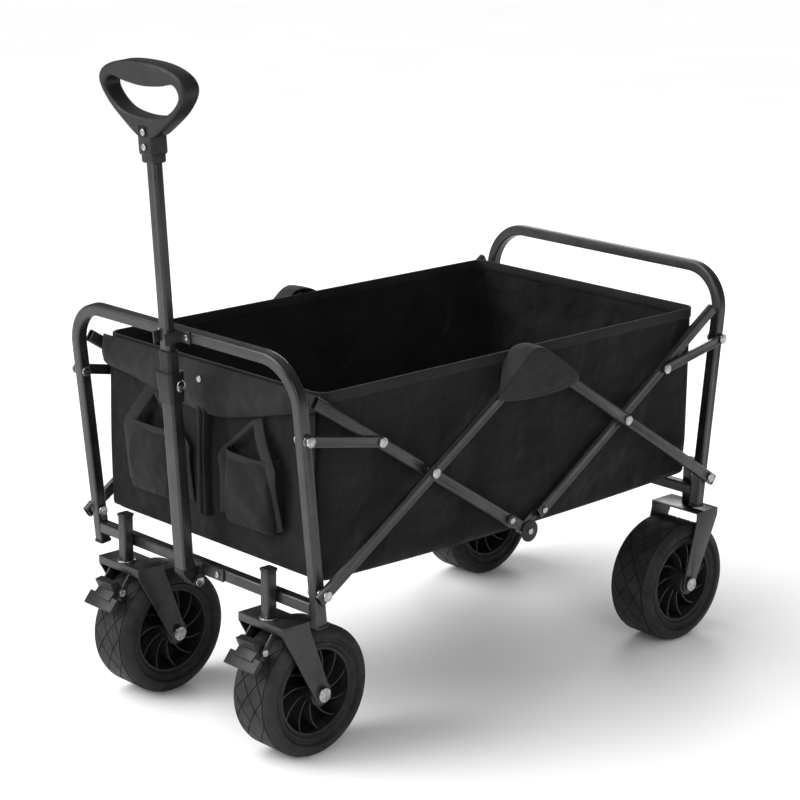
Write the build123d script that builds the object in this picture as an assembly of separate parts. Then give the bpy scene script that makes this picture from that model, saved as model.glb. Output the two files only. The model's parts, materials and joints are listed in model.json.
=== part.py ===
from build123d import *
from math import atan2, cos, degrees, hypot, radians, sin, tan
import os

os.makedirs("parts", exist_ok=True)

# A folding beach cart: two U-shaped end frames joined by crossed bars on both sides, a
# fabric bag, two braked swivel casters in front, two fixed forks behind and a pull handle
# that telescopes.  X runs across the cart, -Y is the handle end, Z is up and the wheels
# stand on Z = 0.  The sides are drawn about their own middle and every piece is set back
# by SETBACK when it is written, so that the origin lies under the middle of the cart.

# ---------------------------------------------------------------- driving dimensions
SETBACK = 17.0            # middle of the folding sides behind the origin

BAR_REACH = 226.0         # crossed bars: from an end pivot to the crossing
OPEN_ANGLE = 33.05        # slope of the bars when the cart stands open
PIVOT_RISE = 53.0         # lower end pivots above the fork crowns
TIP_REACH = 234.0         # from the crossing to the free tip in the bag's corner
STAY_REACH = 105.7        # from the crossing to the stay's rivet
STAY_RISE = 257.8         # the stay's pivot on the leg, above the crowns
BAR_HEIGHT = 17.0         # section of a crossed bar
BAR_THICK = 10.0
BAR_WALL = 1.2
BAR_CORNER = 3.5
BAR_TAIL = 12.0           # bar past its pivot on the leg
LAYER_GAP = 2.0           # between the inner and the outer bars
KNUCKLE_BACK = 30.0       # a bar's end stops this far short of the hinge plates' pin
KNUCKLE_RIVET = 40.0      # from the hinge plates' pin to the rivet in the bar
PLATE_HEIGHT = 15.0       # hinge plates
PLATE_THICK = 2.5
STAY_WIDTH = 14.0         # flat stays between leg and bar
STAY_THICK = 4.0

LEG_X = 228.0             # end frames: centre of a leg
LEG_LEAN = 6.2            # legs lean outwards at the top
RAIL_RISE = 355.0         # centre of the top rail above the crowns
FOOT_RISE = 9.0           # lower end of a leg above the crowns
BEND_RADIUS = 60.0        # at the frame's upper corners
TUBE = 16.0               # square tube of the frames
TUBE_WALL = 1.5
TUBE_CORNER = 3.0
CROSSBAR_RISE = 29.0      # centre of the lower crossbar above the crowns
STEM_RISE = 65.0          # caster stems above the crowns
FRONT_STEM_X = 150.5
REAR_STEM_IN = 29.0       # rear stems inside the legs
CAP_THICK = 4.0           # plastic end caps
CAP_PLUG = 12.0
CAP_PROUD = 1.0

PIN_RADIUS = 4.0          # pivot pins of the sides
PIN_HEAD = 7.0
HEAD_THICK = 2.0
RUN = 0.05                # radial clearance of a running fit
GAP = 0.3                 # between faces that move past each other

WHEEL_RADIUS = 90.0       # wheels
WHEEL_WIDTH = 76.0
RIM_RADIUS = 60.0
RIM_WALL = 3.0
RIM_WIDTH = 62.0
WEB_THICK = 4.0
BOSS_RADIUS = 17.0
RIB_COUNT = 11
RIB_THICK = 2.0
RIB_BOW = 44.0
AXLE_RADIUS = 6.0
AXLE_HEAD = 10.0
AXLE_HEAD_THICK = 5.0

CROWN_CLEAR = 17.0        # top of a crown above its tyre
CROWN_FRONT = 14.0        # crown ahead of the stem's axis
CROWN_BACK = 32.0         # crown behind the stem's axis
SHEET = 2.5
SKIRT = 11.0
ARM_GAP = 4.0             # between a wheel and a fork arm
EYE_RADIUS = 13.0
FRONT_TYRE_AHEAD = 36.0   # a tyre's front edge ahead of its stem
REAR_TYRE_AHEAD = 45.0
KINGPIN_RADIUS = 6.4
KINGPIN_LENGTH = 42.0
RACE_RADIUS = 13.0

BRAKE_FORWARD = 25.0      # brake pivot ahead of the stem
BRAKE_DROP = 35.0         # brake pivot below the crown
BRAKE_RIVET = 3.0
BRAKE_EAR_X = 20.0
PEDAL_WIDTH = 36.0
TREAD_WIDTH = 60.0
PEDAL_ROUND = 1.0
PEDAL_BOSS = 8.0
PAD_TOP = 16.0            # the upper pad above the brake's pivot
TREAD_LOW = 24.0          # the tread below the pivot
TREAD_OUT = 27.0          # the tread ahead of the pivot
SHOE_CLEAR = 0.7          # between the shoe and the tyre
SHOE_HIGH = 9.0
SHOE_DROP = 22.0          # the shoe points this far below the line to the axle

HANDLE_AHEAD = 18.74      # handle: pivot ahead of the crossbar
HANDLE_DROP = 15.0        # and below it
FOOT_AHEAD = 15.0         # foot of the handle's tubes ahead of the pivot
FOOT_LIFT = 20.0          # and above it
HANDLE_LEAN = 4.0
LOWER_LENGTH = 268.0
LOWER_WIDE = 24.0
LOWER_DEEP = 18.0
UPPER_WIDE = 19.0
UPPER_DEEP = 14.0
HANDLE_WALL = 1.5
UPPER_HIDDEN = 28.0       # upper tube inside the lower one when drawn out
COLLAR_LOW = 232.0        # collar, measured up the handle from its foot
COLLAR_TOP = 273.0
COLLAR_NECK = 301.0
GRIP_LOW = 547.0          # grip, measured up the handle from its foot
GRIP_TOP = 676.0
GRIP_HALF = 86.0
GRIP_DEEP = 28.0
GRIP_ROUND = 5.0
GRIP_SOCKET = 40.0
YOKE_PLUG = 16.0
EYE_HANDLE = 8.0
HANDLE_BOLT = 4.0
BRACKET_HALF = 52.0
SADDLE_SCREW_X = 40.0
EAR_X = 10.0
CLIP_HALF = 32.0
CLIP_REACH = 24.0
CLIP_SCREW_X = 26.0
BOLT_RADIUS = 3.0
BOLT_HEAD = 4.5
BOLT_HEAD_THICK = 2.0

BAG_SIDE_GAP = 6.5        # bag: inside the inner bars
BAG_END_GAP = 14.86       # inside the end pivots
BAG_LIFT = 4.0            # above the lower end pivots
RIM_LIFT = 7.5            # above the upper hinge pins
BAG_WALL = 3.0
BAG_CORNER = 18.0
CAP_HALF = 62.0           # fabric caps over the upper hinge pins
CAP_DROP = 48.0           # below the rim
CAP_RISE = 9.0
POUCH_X = 118.0           # cup pouches on the front panel
POUCH_HALF = 46.0
POUCH_DEEP = 24.0
POUCH_LIFT = 46.0         # above the bag's bottom
POUCH_DROP = 92.0         # below the rim
PANEL_THICK = 3.0

# ---------------------------------------------------------------- worked-out places
CROWN_TOP = 2 * WHEEL_RADIUS + CROWN_CLEAR
FRONT_TRAIL = WHEEL_RADIUS - FRONT_TYRE_AHEAD
REAR_TRAIL = WHEEL_RADIUS - REAR_TYRE_AHEAD
PIVOT_HEIGHT = CROWN_TOP + PIVOT_RISE
STAY_HEIGHT = CROWN_TOP + STAY_RISE
RAIL_HEIGHT = CROWN_TOP + RAIL_RISE
LEG_FOOT = CROWN_TOP + FOOT_RISE
CROSSBAR_HEIGHT = CROWN_TOP + CROSSBAR_RISE
STEM_TOP = CROWN_TOP + STEM_RISE
REAR_STEM_X = LEG_X - REAR_STEM_IN
BRAKE_HEIGHT = CROWN_TOP - BRAKE_DROP
SHOE_SPAN = hypot(FRONT_TRAIL + BRAKE_FORWARD, BRAKE_HEIGHT - WHEEL_RADIUS)
SHOE_REACH = SHOE_SPAN - WHEEL_RADIUS - SHOE_CLEAR
HALF_SPAN = 2 * BAR_REACH * cos(radians(OPEN_ANGLE))
RISE = BAR_REACH * sin(radians(OPEN_ANGLE))
CROSS_Y = HALF_SPAN / 2
CROSS_Z = PIVOT_HEIGHT + RISE
TOP_Z = PIVOT_HEIGHT + 2 * RISE
TIP_Y = CROSS_Y + TIP_REACH * cos(radians(OPEN_ANGLE))
TIP_Z = CROSS_Z + TIP_REACH * sin(radians(OPEN_ANGLE))
RIVET_Y = CROSS_Y + STAY_REACH * cos(radians(OPEN_ANGLE))
RIVET_Z = CROSS_Z + STAY_REACH * sin(radians(OPEN_ANGLE))
LEG_FACE = LEG_X + TUBE / 2
INNER_LOW = LEG_FACE + 0.5 - BAR_THICK
INNER_HIGH = INNER_LOW + BAR_THICK
OUTER_LOW = INNER_HIGH + LAYER_GAP
OUTER_HIGH = OUTER_LOW + BAR_THICK
STAY_LOW = INNER_HIGH + 1.0
STAY_HIGH = STAY_LOW + STAY_THICK
ARM_X = WHEEL_WIDTH / 2 + ARM_GAP
BAG_HALF_X = INNER_LOW - BAG_SIDE_GAP
BAG_HALF_Y = HALF_SPAN - BAG_END_GAP
BAG_LOW = PIVOT_HEIGHT + BAG_LIFT
BAG_RIM = TOP_Z + RIM_LIFT
CAP_LOW = BAG_RIM - CAP_DROP
CAP_OUT = OUTER_HIGH + PLATE_THICK + HEAD_THICK + GAP + BAG_WALL
POUCH_LOW = BAG_LOW + POUCH_LIFT
POUCH_HIGH = BAG_RIM - POUCH_DROP


def leg_y(height):
    """Distance of a leg's centre line from the middle, at a height above the floor."""
    return HALF_SPAN + (height - PIVOT_HEIGHT) * tan(radians(LEG_LEAN))


CROSSBAR_Y = leg_y(CROSSBAR_HEIGHT)
STEM_Y = CROSSBAR_Y + TUBE
HANDLE_PIVOT_Y = -(CROSSBAR_Y + HANDLE_AHEAD)
HANDLE_PIVOT_Z = CROSSBAR_HEIGHT - HANDLE_DROP
HANDLE_FOOT_Y = HANDLE_PIVOT_Y - FOOT_AHEAD
HANDLE_FOOT_Z = HANDLE_PIVOT_Z + FOOT_LIFT


# ---------------------------------------------------------------- helpers
def write(name, *pieces):
    """Set the pieces back and write them as one node, each piece its own solid."""
    solids = [solid for piece in pieces for solid in piece.solids()]
    export_step(Pos(0, SETBACK, 0) * Compound(children=solids), "parts/" + name + ".step")


def left(piece):
    return mirror(piece, about=Plane.YZ)


def rear(piece):
    return mirror(piece, about=Plane.XZ)


def both_sides(piece):
    return [piece, left(piece)]


def rod(low, high, y, z, radius):
    """A round rod along X from low to high."""
    return Pos((low + high) / 2, y, z) * Rot(0, 90, 0) * Cylinder(radius, high - low)


def slab(low, high, outline):
    """A Y-Z outline given a thickness along X from low to high."""
    plane = Plane(origin=(low, 0, 0), x_dir=(0, 1, 0), z_dir=(1, 0, 0))
    return extrude(plane * outline, amount=high - low, dir=(1, 0, 0))


def section(wide, deep, corner, wall):
    inner = RectangleRounded(wide - 2 * wall, deep - 2 * wall, max(corner - wall, 0.5))
    return RectangleRounded(wide, deep, corner) - inner


def slot_outline(start, end, width):
    """A flat bar with round ends between two Y-Z points."""
    (y0, z0), (y1, z1) = start, end
    length = hypot(y1 - y0, z1 - z0)
    turn = degrees(atan2(z1 - z0, y1 - y0))
    return Pos((y0 + y1) / 2, (z0 + z1) / 2) * Rot(0, 0, turn) * SlotCenterToCenter(length, width)


def along(start, end, distance):
    """The Y-Z point at a distance from start towards end."""
    (y0, z0), (y1, z1) = start, end
    share = distance / hypot(y1 - y0, z1 - z0)
    return (y0 + (y1 - y0) * share, z0 + (z1 - z0) * share)


# ---------------------------------------------------------------- crossed bars
CROSS = (-CROSS_Y, CROSS_Z)
LEG_PIVOT = (-HALF_SPAN, PIVOT_HEIGHT)
TOP_PIN = (0.0, TOP_Z)
LOW_PIN = (0.0, PIVOT_HEIGHT)
TIP = (-TIP_Y, TIP_Z)
STAY_RIVET = (-RIVET_Y, RIVET_Z)
STAY_PIVOT = (-leg_y(STAY_HEIGHT), STAY_HEIGHT)
TOP_RIVET = along(TOP_PIN, LEG_PIVOT, KNUCKLE_RIVET)
LOW_RIVET = along(LOW_PIN, TIP, KNUCKLE_RIVET)


def bar_tube(start, end, low, holes):
    """A hollow bar from start to end, with (point, radius) holes along X."""
    (y0, z0), (y1, z1) = start, end
    length = hypot(y1 - y0, z1 - z0)
    plane = Plane(
        origin=(low + BAR_THICK / 2, y0, z0),
        x_dir=(1, 0, 0),
        z_dir=(0, (y1 - y0) / length, (z1 - z0) / length),
    )
    outline = plane * section(BAR_THICK, BAR_HEIGHT, BAR_CORNER, BAR_WALL)
    tube = extrude(outline, amount=length)
    for (y, z), radius in holes:
        tube -= rod(low - 1, low + BAR_THICK + 1, y, z, radius)
    return tube


def outer_bar():
    start = along(LEG_PIVOT, TOP_PIN, -BAR_TAIL)
    end = along(TOP_PIN, LEG_PIVOT, KNUCKLE_BACK)
    holes = [(LEG_PIVOT, PIN_RADIUS + RUN), (CROSS, PIN_RADIUS), (TOP_RIVET, BOLT_RADIUS)]
    return bar_tube(start, end, OUTER_LOW, holes)


def inner_bar():
    end = along(LOW_PIN, TIP, KNUCKLE_BACK)
    holes = [(CROSS, PIN_RADIUS + RUN), (LOW_RIVET, BOLT_RADIUS)]
    return bar_tube(TIP, end, INNER_LOW, holes)


def hinge_plate(pin, rivet, low, pin_hole):
    plate = slab(low, low + PLATE_THICK, slot_outline(pin, rivet, PLATE_HEIGHT))
    plate -= rod(low - 1, low + PLATE_THICK + 1, *pin, pin_hole)
    return plate - rod(low - 1, low + PLATE_THICK + 1, *rivet, BOLT_RADIUS)


def rivet_pin(low, high, point, radius, head):
    """A rod through two layers with a flat head outside each of them."""
    pin = rod(low - HEAD_THICK, high + HEAD_THICK, *point, radius)
    pin += rod(low - HEAD_THICK, low, *point, head)
    return pin + rod(high, high + HEAD_THICK, *point, head)


def outer_pins():
    """Crossing pin, upper hinge pin and the rivet of the upper hinge plate."""
    crossing = rivet_pin(INNER_LOW - GAP, OUTER_HIGH, CROSS, PIN_RADIUS, PIN_HEAD)
    crossing += rod(INNER_HIGH + GAP, OUTER_LOW, *CROSS, PIN_HEAD)
    low = OUTER_LOW - PLATE_THICK - GAP
    hinge = rivet_pin(low, OUTER_HIGH + PLATE_THICK, TOP_PIN, PIN_RADIUS, PIN_HEAD)
    hinge += rod(OUTER_LOW + GAP, OUTER_HIGH, *TOP_PIN, PIN_HEAD)
    rivet = rivet_pin(OUTER_LOW, OUTER_HIGH + PLATE_THICK, TOP_RIVET, BOLT_RADIUS, BOLT_HEAD)
    return [crossing, hinge, rivet]


def inner_pins():
    """Lower hinge pin and the rivet of the lower hinge plate."""
    low = INNER_LOW - PLATE_THICK - GAP
    hinge = rivet_pin(low, INNER_HIGH + PLATE_THICK, LOW_PIN, PIN_RADIUS, PIN_HEAD)
    hinge += rod(INNER_LOW + GAP, INNER_HIGH, *LOW_PIN, PIN_HEAD)
    rivet = rivet_pin(INNER_LOW, INNER_HIGH + PLATE_THICK, LOW_RIVET, BOLT_RADIUS, BOLT_HEAD)
    return [hinge, rivet]


def rear_pins():
    """Crossing pin of the rear pair and the rivet of its upper hinge plate."""
    crossing = rivet_pin(INNER_LOW - GAP, OUTER_HIGH, CROSS, PIN_RADIUS, PIN_HEAD)
    crossing += rod(INNER_HIGH + GAP, OUTER_LOW, *CROSS, PIN_HEAD)
    rivet = rivet_pin(OUTER_LOW - PLATE_THICK, OUTER_HIGH, TOP_RIVET, BOLT_RADIUS, BOLT_HEAD)
    return [rear(crossing), rear(rivet)]


def stay():
    plate = slab(STAY_LOW, STAY_HIGH, slot_outline(STAY_PIVOT, STAY_RIVET, STAY_WIDTH))
    plate -= rod(STAY_LOW - 1, STAY_HIGH + 1, *STAY_PIVOT, PIN_RADIUS + RUN)
    return plate - rod(STAY_LOW - 1, STAY_HIGH + 1, *STAY_RIVET, PIN_RADIUS)


def stay_rivet():
    """The stay's rivet ends just short of the bar it slides on."""
    rivet = rod(INNER_HIGH + GAP, STAY_HIGH + HEAD_THICK, *STAY_RIVET, PIN_RADIUS)
    return rivet + rod(STAY_HIGH, STAY_HIGH + HEAD_THICK, *STAY_RIVET, PIN_HEAD)


def write_bars():
    outer = outer_bar()
    inner = inner_bar()
    plate_top = hinge_plate(TOP_PIN, TOP_RIVET, OUTER_HIGH, PIN_RADIUS)
    plate_low = hinge_plate(LOW_PIN, LOW_RIVET, INNER_HIGH, PIN_RADIUS)
    under_top = hinge_plate(TOP_PIN, TOP_RIVET, OUTER_LOW - PLATE_THICK, PIN_RADIUS + RUN)
    under_low = hinge_plate(LOW_PIN, LOW_RIVET, INNER_LOW - PLATE_THICK, PIN_RADIUS + RUN)
    write("front_outer_bar_right", outer)
    write("front_outer_bar_left", left(outer))
    write("rear_outer_bar_right", rear(outer))
    write("rear_outer_bar_left", left(rear(outer)))
    write("front_inner_bar_right", inner)
    write("front_inner_bar_left", left(inner))
    write("rear_inner_bar_right", rear(inner))
    write("rear_inner_bar_left", left(rear(inner)))
    write("front_upper_hinge_plates", *both_sides(plate_top))
    write("rear_upper_hinge_plates", *both_sides(rear(under_top)))
    write("front_lower_hinge_plates", *both_sides(plate_low))
    write("rear_lower_hinge_plates", *both_sides(rear(under_low)))
    write("front_outer_pins", *outer_pins(), *map(left, outer_pins()))
    write("rear_outer_pins", *rear_pins(), *map(left, rear_pins()))
    write("front_inner_pins", *inner_pins(), *map(left, inner_pins()))
    rivet = rivet_pin(INNER_LOW - PLATE_THICK, INNER_HIGH, LOW_RIVET, BOLT_RADIUS, BOLT_HEAD)
    write("rear_inner_rivets", *both_sides(rear(rivet)))
    write("front_stays", *both_sides(stay()))
    write("rear_stays", *both_sides(rear(stay())))
    write("front_stay_rivets", *both_sides(stay_rivet()))
    write("rear_stay_rivets", *both_sides(rear(stay_rivet())))


# ---------------------------------------------------------------- end frames
def on_frame(piece):
    """From the frame's own upright plane through the leg pivots to its leaning place."""
    return Pos(0, -HALF_SPAN, PIVOT_HEIGHT) * Rot(LEG_LEAN, 0, 0) * piece


def up_leg(height):
    """Distance along a leg from its pivot to a height above the floor."""
    return (height - PIVOT_HEIGHT) / cos(radians(LEG_LEAN))


def u_frame():
    top = up_leg(RAIL_HEIGHT)
    foot = up_leg(LEG_FOOT)
    path = FilletPolyline(
        (LEG_X, 0, foot), (LEG_X, 0, top), (-LEG_X, 0, top), (-LEG_X, 0, foot), radius=BEND_RADIUS
    )
    start = Plane(origin=(LEG_X, 0, foot), x_dir=(1, 0, 0), z_dir=(0, 0, 1))
    tube = on_frame(sweep(start * section(TUBE, TUBE, TUBE_CORNER, TUBE_WALL), path=path))
    for side in (1, -1):
        for y, z in (LEG_PIVOT, STAY_PIVOT):
            tube -= rod(side * LEG_X - TUBE, side * LEG_X + TUBE, y, z, PIN_RADIUS)
    return tube


def crossbar():
    length = 2 * LEG_X - TUBE
    plane = Plane(origin=(-length / 2, -CROSSBAR_Y, CROSSBAR_HEIGHT), x_dir=(0, 1, 0), z_dir=(1, 0, 0))
    return extrude(plane * section(TUBE, TUBE, TUBE_CORNER, TUBE_WALL), amount=length)


def stem(x, foot):
    base = Pos(x, -STEM_Y, foot)
    return extrude(base * section(TUBE, TUBE, TUBE_CORNER, TUBE_WALL), amount=STEM_TOP - foot)


def end_cap():
    """A plastic cap over the end of a tube that ends at Z = 0, its plug reaching down."""
    inside = TUBE - 2 * TUBE_WALL
    wide = TUBE + 2 * CAP_PROUD
    cap = extrude(RectangleRounded(wide, wide, TUBE_CORNER), amount=CAP_THICK)
    cap = fillet(cap.faces().sort_by(Axis.Z)[-1].edges(), CAP_PROUD)
    plug = RectangleRounded(inside, inside, TUBE_CORNER - TUBE_WALL)
    return cap + extrude(plug, amount=-CAP_PLUG)


def end_caps(stem_x):
    top = Pos(stem_x, -STEM_Y, STEM_TOP) * end_cap()
    foot = on_frame(Pos(LEG_X, 0, up_leg(LEG_FOOT)) * Rot(180, 0, 0) * end_cap())
    return both_sides(top) + both_sides(foot)


def leg_pins():
    """The two pins on a leg: the outer bar's and the stay's."""
    lower = rod(LEG_X - TUBE / 2, OUTER_HIGH + GAP + HEAD_THICK, *LEG_PIVOT, PIN_RADIUS)
    lower += rod(LEG_FACE, OUTER_LOW - GAP, *LEG_PIVOT, PIN_HEAD)
    lower += rod(OUTER_HIGH + GAP, OUTER_HIGH + GAP + HEAD_THICK, *LEG_PIVOT, PIN_HEAD)
    lower += rod(LEG_X - TUBE / 2 - HEAD_THICK, LEG_X - TUBE / 2, *LEG_PIVOT, PIN_HEAD)
    upper = rod(LEG_X - TUBE / 2, STAY_HIGH + GAP + HEAD_THICK, *STAY_PIVOT, PIN_RADIUS)
    upper += rod(LEG_FACE, STAY_LOW - GAP, *STAY_PIVOT, PIN_HEAD)
    upper += rod(STAY_HIGH + GAP, STAY_HIGH + GAP + HEAD_THICK, *STAY_PIVOT, PIN_HEAD)
    upper += rod(LEG_X - TUBE / 2 - HEAD_THICK, LEG_X - TUBE / 2, *STAY_PIVOT, PIN_HEAD)
    return both_sides(lower) + both_sides(upper)


def write_frames():
    write("front_frame_tube", u_frame())
    write("front_crossbar", crossbar())
    foot = CROWN_TOP + SHEET + GAP
    write("front_stem_tubes", stem(FRONT_STEM_X, foot), stem(-FRONT_STEM_X, foot))
    write("front_end_caps", *end_caps(FRONT_STEM_X))
    write("front_leg_pins", *leg_pins())
    write("rear_frame_tube", rear(u_frame()))
    write("rear_crossbar", rear(crossbar()))
    rear_stems = [stem(REAR_STEM_X, CROWN_TOP), stem(-REAR_STEM_X, CROWN_TOP)]
    write("rear_stem_tubes", *map(rear, rear_stems))
    write("rear_end_caps", *map(rear, end_caps(REAR_STEM_X)))
    write("rear_leg_pins", *map(rear, leg_pins()))


# ---------------------------------------------------------------- forks and brakes
# Drawn with the stem's axis on Z and the wheel trailing towards +Y.
def fork_arm(trail):
    """The side sheet of a fork, tapering from the crown to the axle's eye."""
    run = atan2(WHEEL_RADIUS - CROWN_TOP, trail - (CROWN_BACK - CROWN_FRONT) / 2)
    across_y = EYE_RADIUS * -sin(run)
    across_z = EYE_RADIUS * cos(run)
    outline = Polygon(
        (-CROWN_FRONT, CROWN_TOP),
        (-CROWN_FRONT, CROWN_TOP - SKIRT),
        (trail - across_y, WHEEL_RADIUS - across_z),
        (trail + across_y, WHEEL_RADIUS + across_z),
        (CROWN_BACK, CROWN_TOP - SKIRT),
        (CROWN_BACK, CROWN_TOP),
        align=None,
    )
    outline += Pos(trail, WHEEL_RADIUS) * Circle(EYE_RADIUS)
    outline -= Pos(trail, WHEEL_RADIUS) * Circle(AXLE_RADIUS)
    return slab(ARM_X, ARM_X + SHEET, outline)


def brake_ear():
    ear = Polygon(
        (-CROWN_FRONT + SHEET, CROWN_TOP - SHEET),
        (4, CROWN_TOP - SHEET),
        (-BRAKE_FORWARD + 6, BRAKE_HEIGHT),
        (-BRAKE_FORWARD - 6, BRAKE_HEIGHT),
        (-CROWN_FRONT, CROWN_TOP - SKIRT - 2),
        (-CROWN_FRONT + SHEET, CROWN_TOP - SKIRT),
        align=None,
    )
    ear += Pos(-BRAKE_FORWARD, BRAKE_HEIGHT) * Circle(2 * BRAKE_RIVET)
    ear -= Pos(-BRAKE_FORWARD, BRAKE_HEIGHT) * Circle(BRAKE_RIVET)
    return slab(BRAKE_EAR_X, BRAKE_EAR_X + SHEET, ear)


def fork(trail, braked):
    half = ARM_X + SHEET
    depth = CROWN_FRONT + CROWN_BACK
    crown = Pos(0, (CROWN_BACK - CROWN_FRONT) / 2, CROWN_TOP - SHEET / 2)
    body = crown * Box(2 * half, depth, SHEET)
    body += Pos(0, SHEET / 2 - CROWN_FRONT, CROWN_TOP - SKIRT / 2) * Box(2 * half, SHEET, SKIRT)
    body += fork_arm(trail) + left(fork_arm(trail))
    if braked:
        body += brake_ear() + left(brake_ear())
        body -= Pos(0, 0, CROWN_TOP) * Cylinder(KINGPIN_RADIUS, 4 * SHEET)
    return body


def caster_bearing():
    """Race ring on the crown with the kingpin that runs in the stem."""
    race = Pos(0, 0, CROWN_TOP + SHEET / 2) * Cylinder(RACE_RADIUS, SHEET)
    length = KINGPIN_LENGTH + SHEET + HEAD_THICK
    pin = Pos(0, 0, CROWN_TOP - SHEET - HEAD_THICK + length / 2) * Cylinder(KINGPIN_RADIUS, length)
    nut = Pos(0, 0, CROWN_TOP - SHEET - HEAD_THICK / 2) * Cylinder(PIN_HEAD + 3, HEAD_THICK)
    return race + pin + nut


def axle_bolt(trail):
    reach = ARM_X + SHEET
    bolt = rod(-reach, reach, trail, WHEEL_RADIUS, AXLE_RADIUS)
    bolt += rod(reach, reach + AXLE_HEAD_THICK, trail, WHEEL_RADIUS, AXLE_HEAD)
    return bolt + rod(-reach - AXLE_HEAD_THICK, -reach, trail, WHEEL_RADIUS, AXLE_HEAD)


def brake_rivet():
    reach = BRAKE_EAR_X + SHEET
    place = (-BRAKE_FORWARD, BRAKE_HEIGHT)
    rivet = rod(-reach, reach, *place, BRAKE_RIVET)
    rivet += rod(reach, reach + HEAD_THICK, *place, BRAKE_RIVET + 2)
    return rivet + rod(-reach - HEAD_THICK, -reach, *place, BRAKE_RIVET + 2)


def rounded(*points):
    """A Y-Z outline with its corners eased."""
    outline = Polygon(*points, align=None)
    return fillet(outline.vertices(), PEDAL_ROUND)


def brake_pedal():
    """A two-lobed pedal: the flared tread is pressed to brake, the upper pad to let go."""
    half = PEDAL_WIDTH / 2
    boss = PEDAL_BOSS
    pad = rounded((-boss, -boss / 2), (boss / 2, boss / 2), (-boss / 2, PAD_TOP), (-2 * boss, PAD_TOP - 2))
    arm = rounded((-boss / 2, -boss), (-boss, boss / 2), (-2.5 * boss, -boss), (-2 * boss, -2 * boss))
    to_axle = degrees(atan2(WHEEL_RADIUS - BRAKE_HEIGHT, FRONT_TRAIL + BRAKE_FORWARD))
    shoe = Pos(SHOE_REACH / 2, 0) * RectangleRounded(SHOE_REACH, SHOE_HIGH, SHOE_HIGH / 3)
    lobes = Circle(boss) + pad + arm + Rot(0, 0, to_axle - SHOE_DROP) * shoe
    body = slab(-half, half, lobes)
    tread = rounded(
        (-1.75 * boss, -boss / 2),
        (-1.4 * boss, -1.5 * boss),
        (5 - TREAD_OUT, -TREAD_LOW),
        (-TREAD_OUT, 4 - TREAD_LOW),
    )
    body += slab(-TREAD_WIDTH / 2, TREAD_WIDTH / 2, tread)
    body -= rod(-half - 1, half + 1, 0, 0, BRAKE_RIVET + RUN)
    return Pos(0, -BRAKE_FORWARD, BRAKE_HEIGHT) * body


def write_casters():
    for name, side in (("right", 1), ("left", -1)):
        place = Pos(side * FRONT_STEM_X, -STEM_Y, 0)
        write("caster_fork_" + name, place * fork(FRONT_TRAIL, True))
        write("caster_bearing_" + name, place * caster_bearing())
        write("caster_pins_" + name, place * axle_bolt(FRONT_TRAIL), place * brake_rivet())
        write("brake_pedal_" + name, place * brake_pedal())
    place = Pos(REAR_STEM_X, -STEM_Y, 0)
    write("rear_forks", *both_sides(rear(place * fork(REAR_TRAIL, False))))
    write("rear_axles", *both_sides(rear(place * axle_bolt(REAR_TRAIL))))


# ---------------------------------------------------------------- wheels
def tyre():
    """A wide moulded tyre: flat tread, round shoulders and a step in each side wall."""
    half = WHEEL_WIDTH / 2
    rim = RIM_WIDTH / 2
    outline = Polygon(
        (rim, RIM_RADIUS),
        (rim, RIM_RADIUS + 8),
        (half - 3, RIM_RADIUS + 9),
        (half, RIM_RADIUS + 12),
        (half, WHEEL_RADIUS - 12),
        (half - 2, WHEEL_RADIUS - 5),
        (half - 8, WHEEL_RADIUS - 1),
        (half - 14, WHEEL_RADIUS),
        (-half + 14, WHEEL_RADIUS),
        (-half + 8, WHEEL_RADIUS - 1),
        (-half + 2, WHEEL_RADIUS - 5),
        (-half, WHEEL_RADIUS - 12),
        (-half, RIM_RADIUS + 12),
        (-half + 3, RIM_RADIUS + 9),
        (-rim, RIM_RADIUS + 8),
        (-rim, RIM_RADIUS),
        align=None,
    )
    return revolve(Plane.XY * outline, axis=Axis.X)


def hub():
    """A deep dished hub: rim ring, web, boss and bowed ribs on both faces."""
    half = WHEEL_WIDTH / 2 + ARM_GAP - 0.5
    rim = Circle(RIM_RADIUS) - Circle(RIM_RADIUS - RIM_WALL)
    body = extrude(rim, amount=RIM_WIDTH / 2, both=True)
    web = Circle(RIM_RADIUS - RIM_WALL / 2) - Circle(AXLE_RADIUS)
    body += extrude(web, amount=WEB_THICK / 2, both=True)
    boss = Circle(BOSS_RADIUS) - Circle(AXLE_RADIUS + RUN)
    arc = Pos(0, RIB_BOW) * (Circle(RIB_BOW + RIB_THICK / 2) - Circle(RIB_BOW - RIB_THICK / 2))
    field = Circle(RIM_RADIUS - RIM_WALL / 2) - Circle(BOSS_RADIUS - RIB_THICK)
    rib = arc & field & Pos(RIM_RADIUS, 0) * Rectangle(2 * RIM_RADIUS, 4 * RIM_RADIUS)
    ribs = extrude(rib, amount=RIM_WIDTH / 2 - 4, both=True)
    for turn in range(RIB_COUNT):
        body += Rot(0, 0, turn * 360 / RIB_COUNT) * ribs
    body += extrude(boss, amount=half, both=True)
    body -= Cylinder(AXLE_RADIUS + RUN, 3 * WHEEL_WIDTH)
    return Rot(0, 90, 0) * body


def write_wheels():
    front_y = FRONT_TRAIL - STEM_Y
    rear_y = STEM_Y - REAR_TRAIL
    tyre_shape = tyre()
    hub_shape = hub()
    for end, x, y in (("front", FRONT_STEM_X, front_y), ("rear", REAR_STEM_X, rear_y)):
        for name, side in (("right", 1), ("left", -1)):
            place = Pos(side * x, y, WHEEL_RADIUS)
            write(end + "_tyre_" + name, place * tyre_shape)
            write(end + "_hub_" + name, place * hub_shape)


# ---------------------------------------------------------------- handle
# Drawn with the handle's axis on Z and the lower tube's foot at Z = 0.
def on_handle(piece):
    return Pos(0, HANDLE_FOOT_Y, HANDLE_FOOT_Z) * Rot(HANDLE_LEAN, 0, 0) * piece


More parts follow.
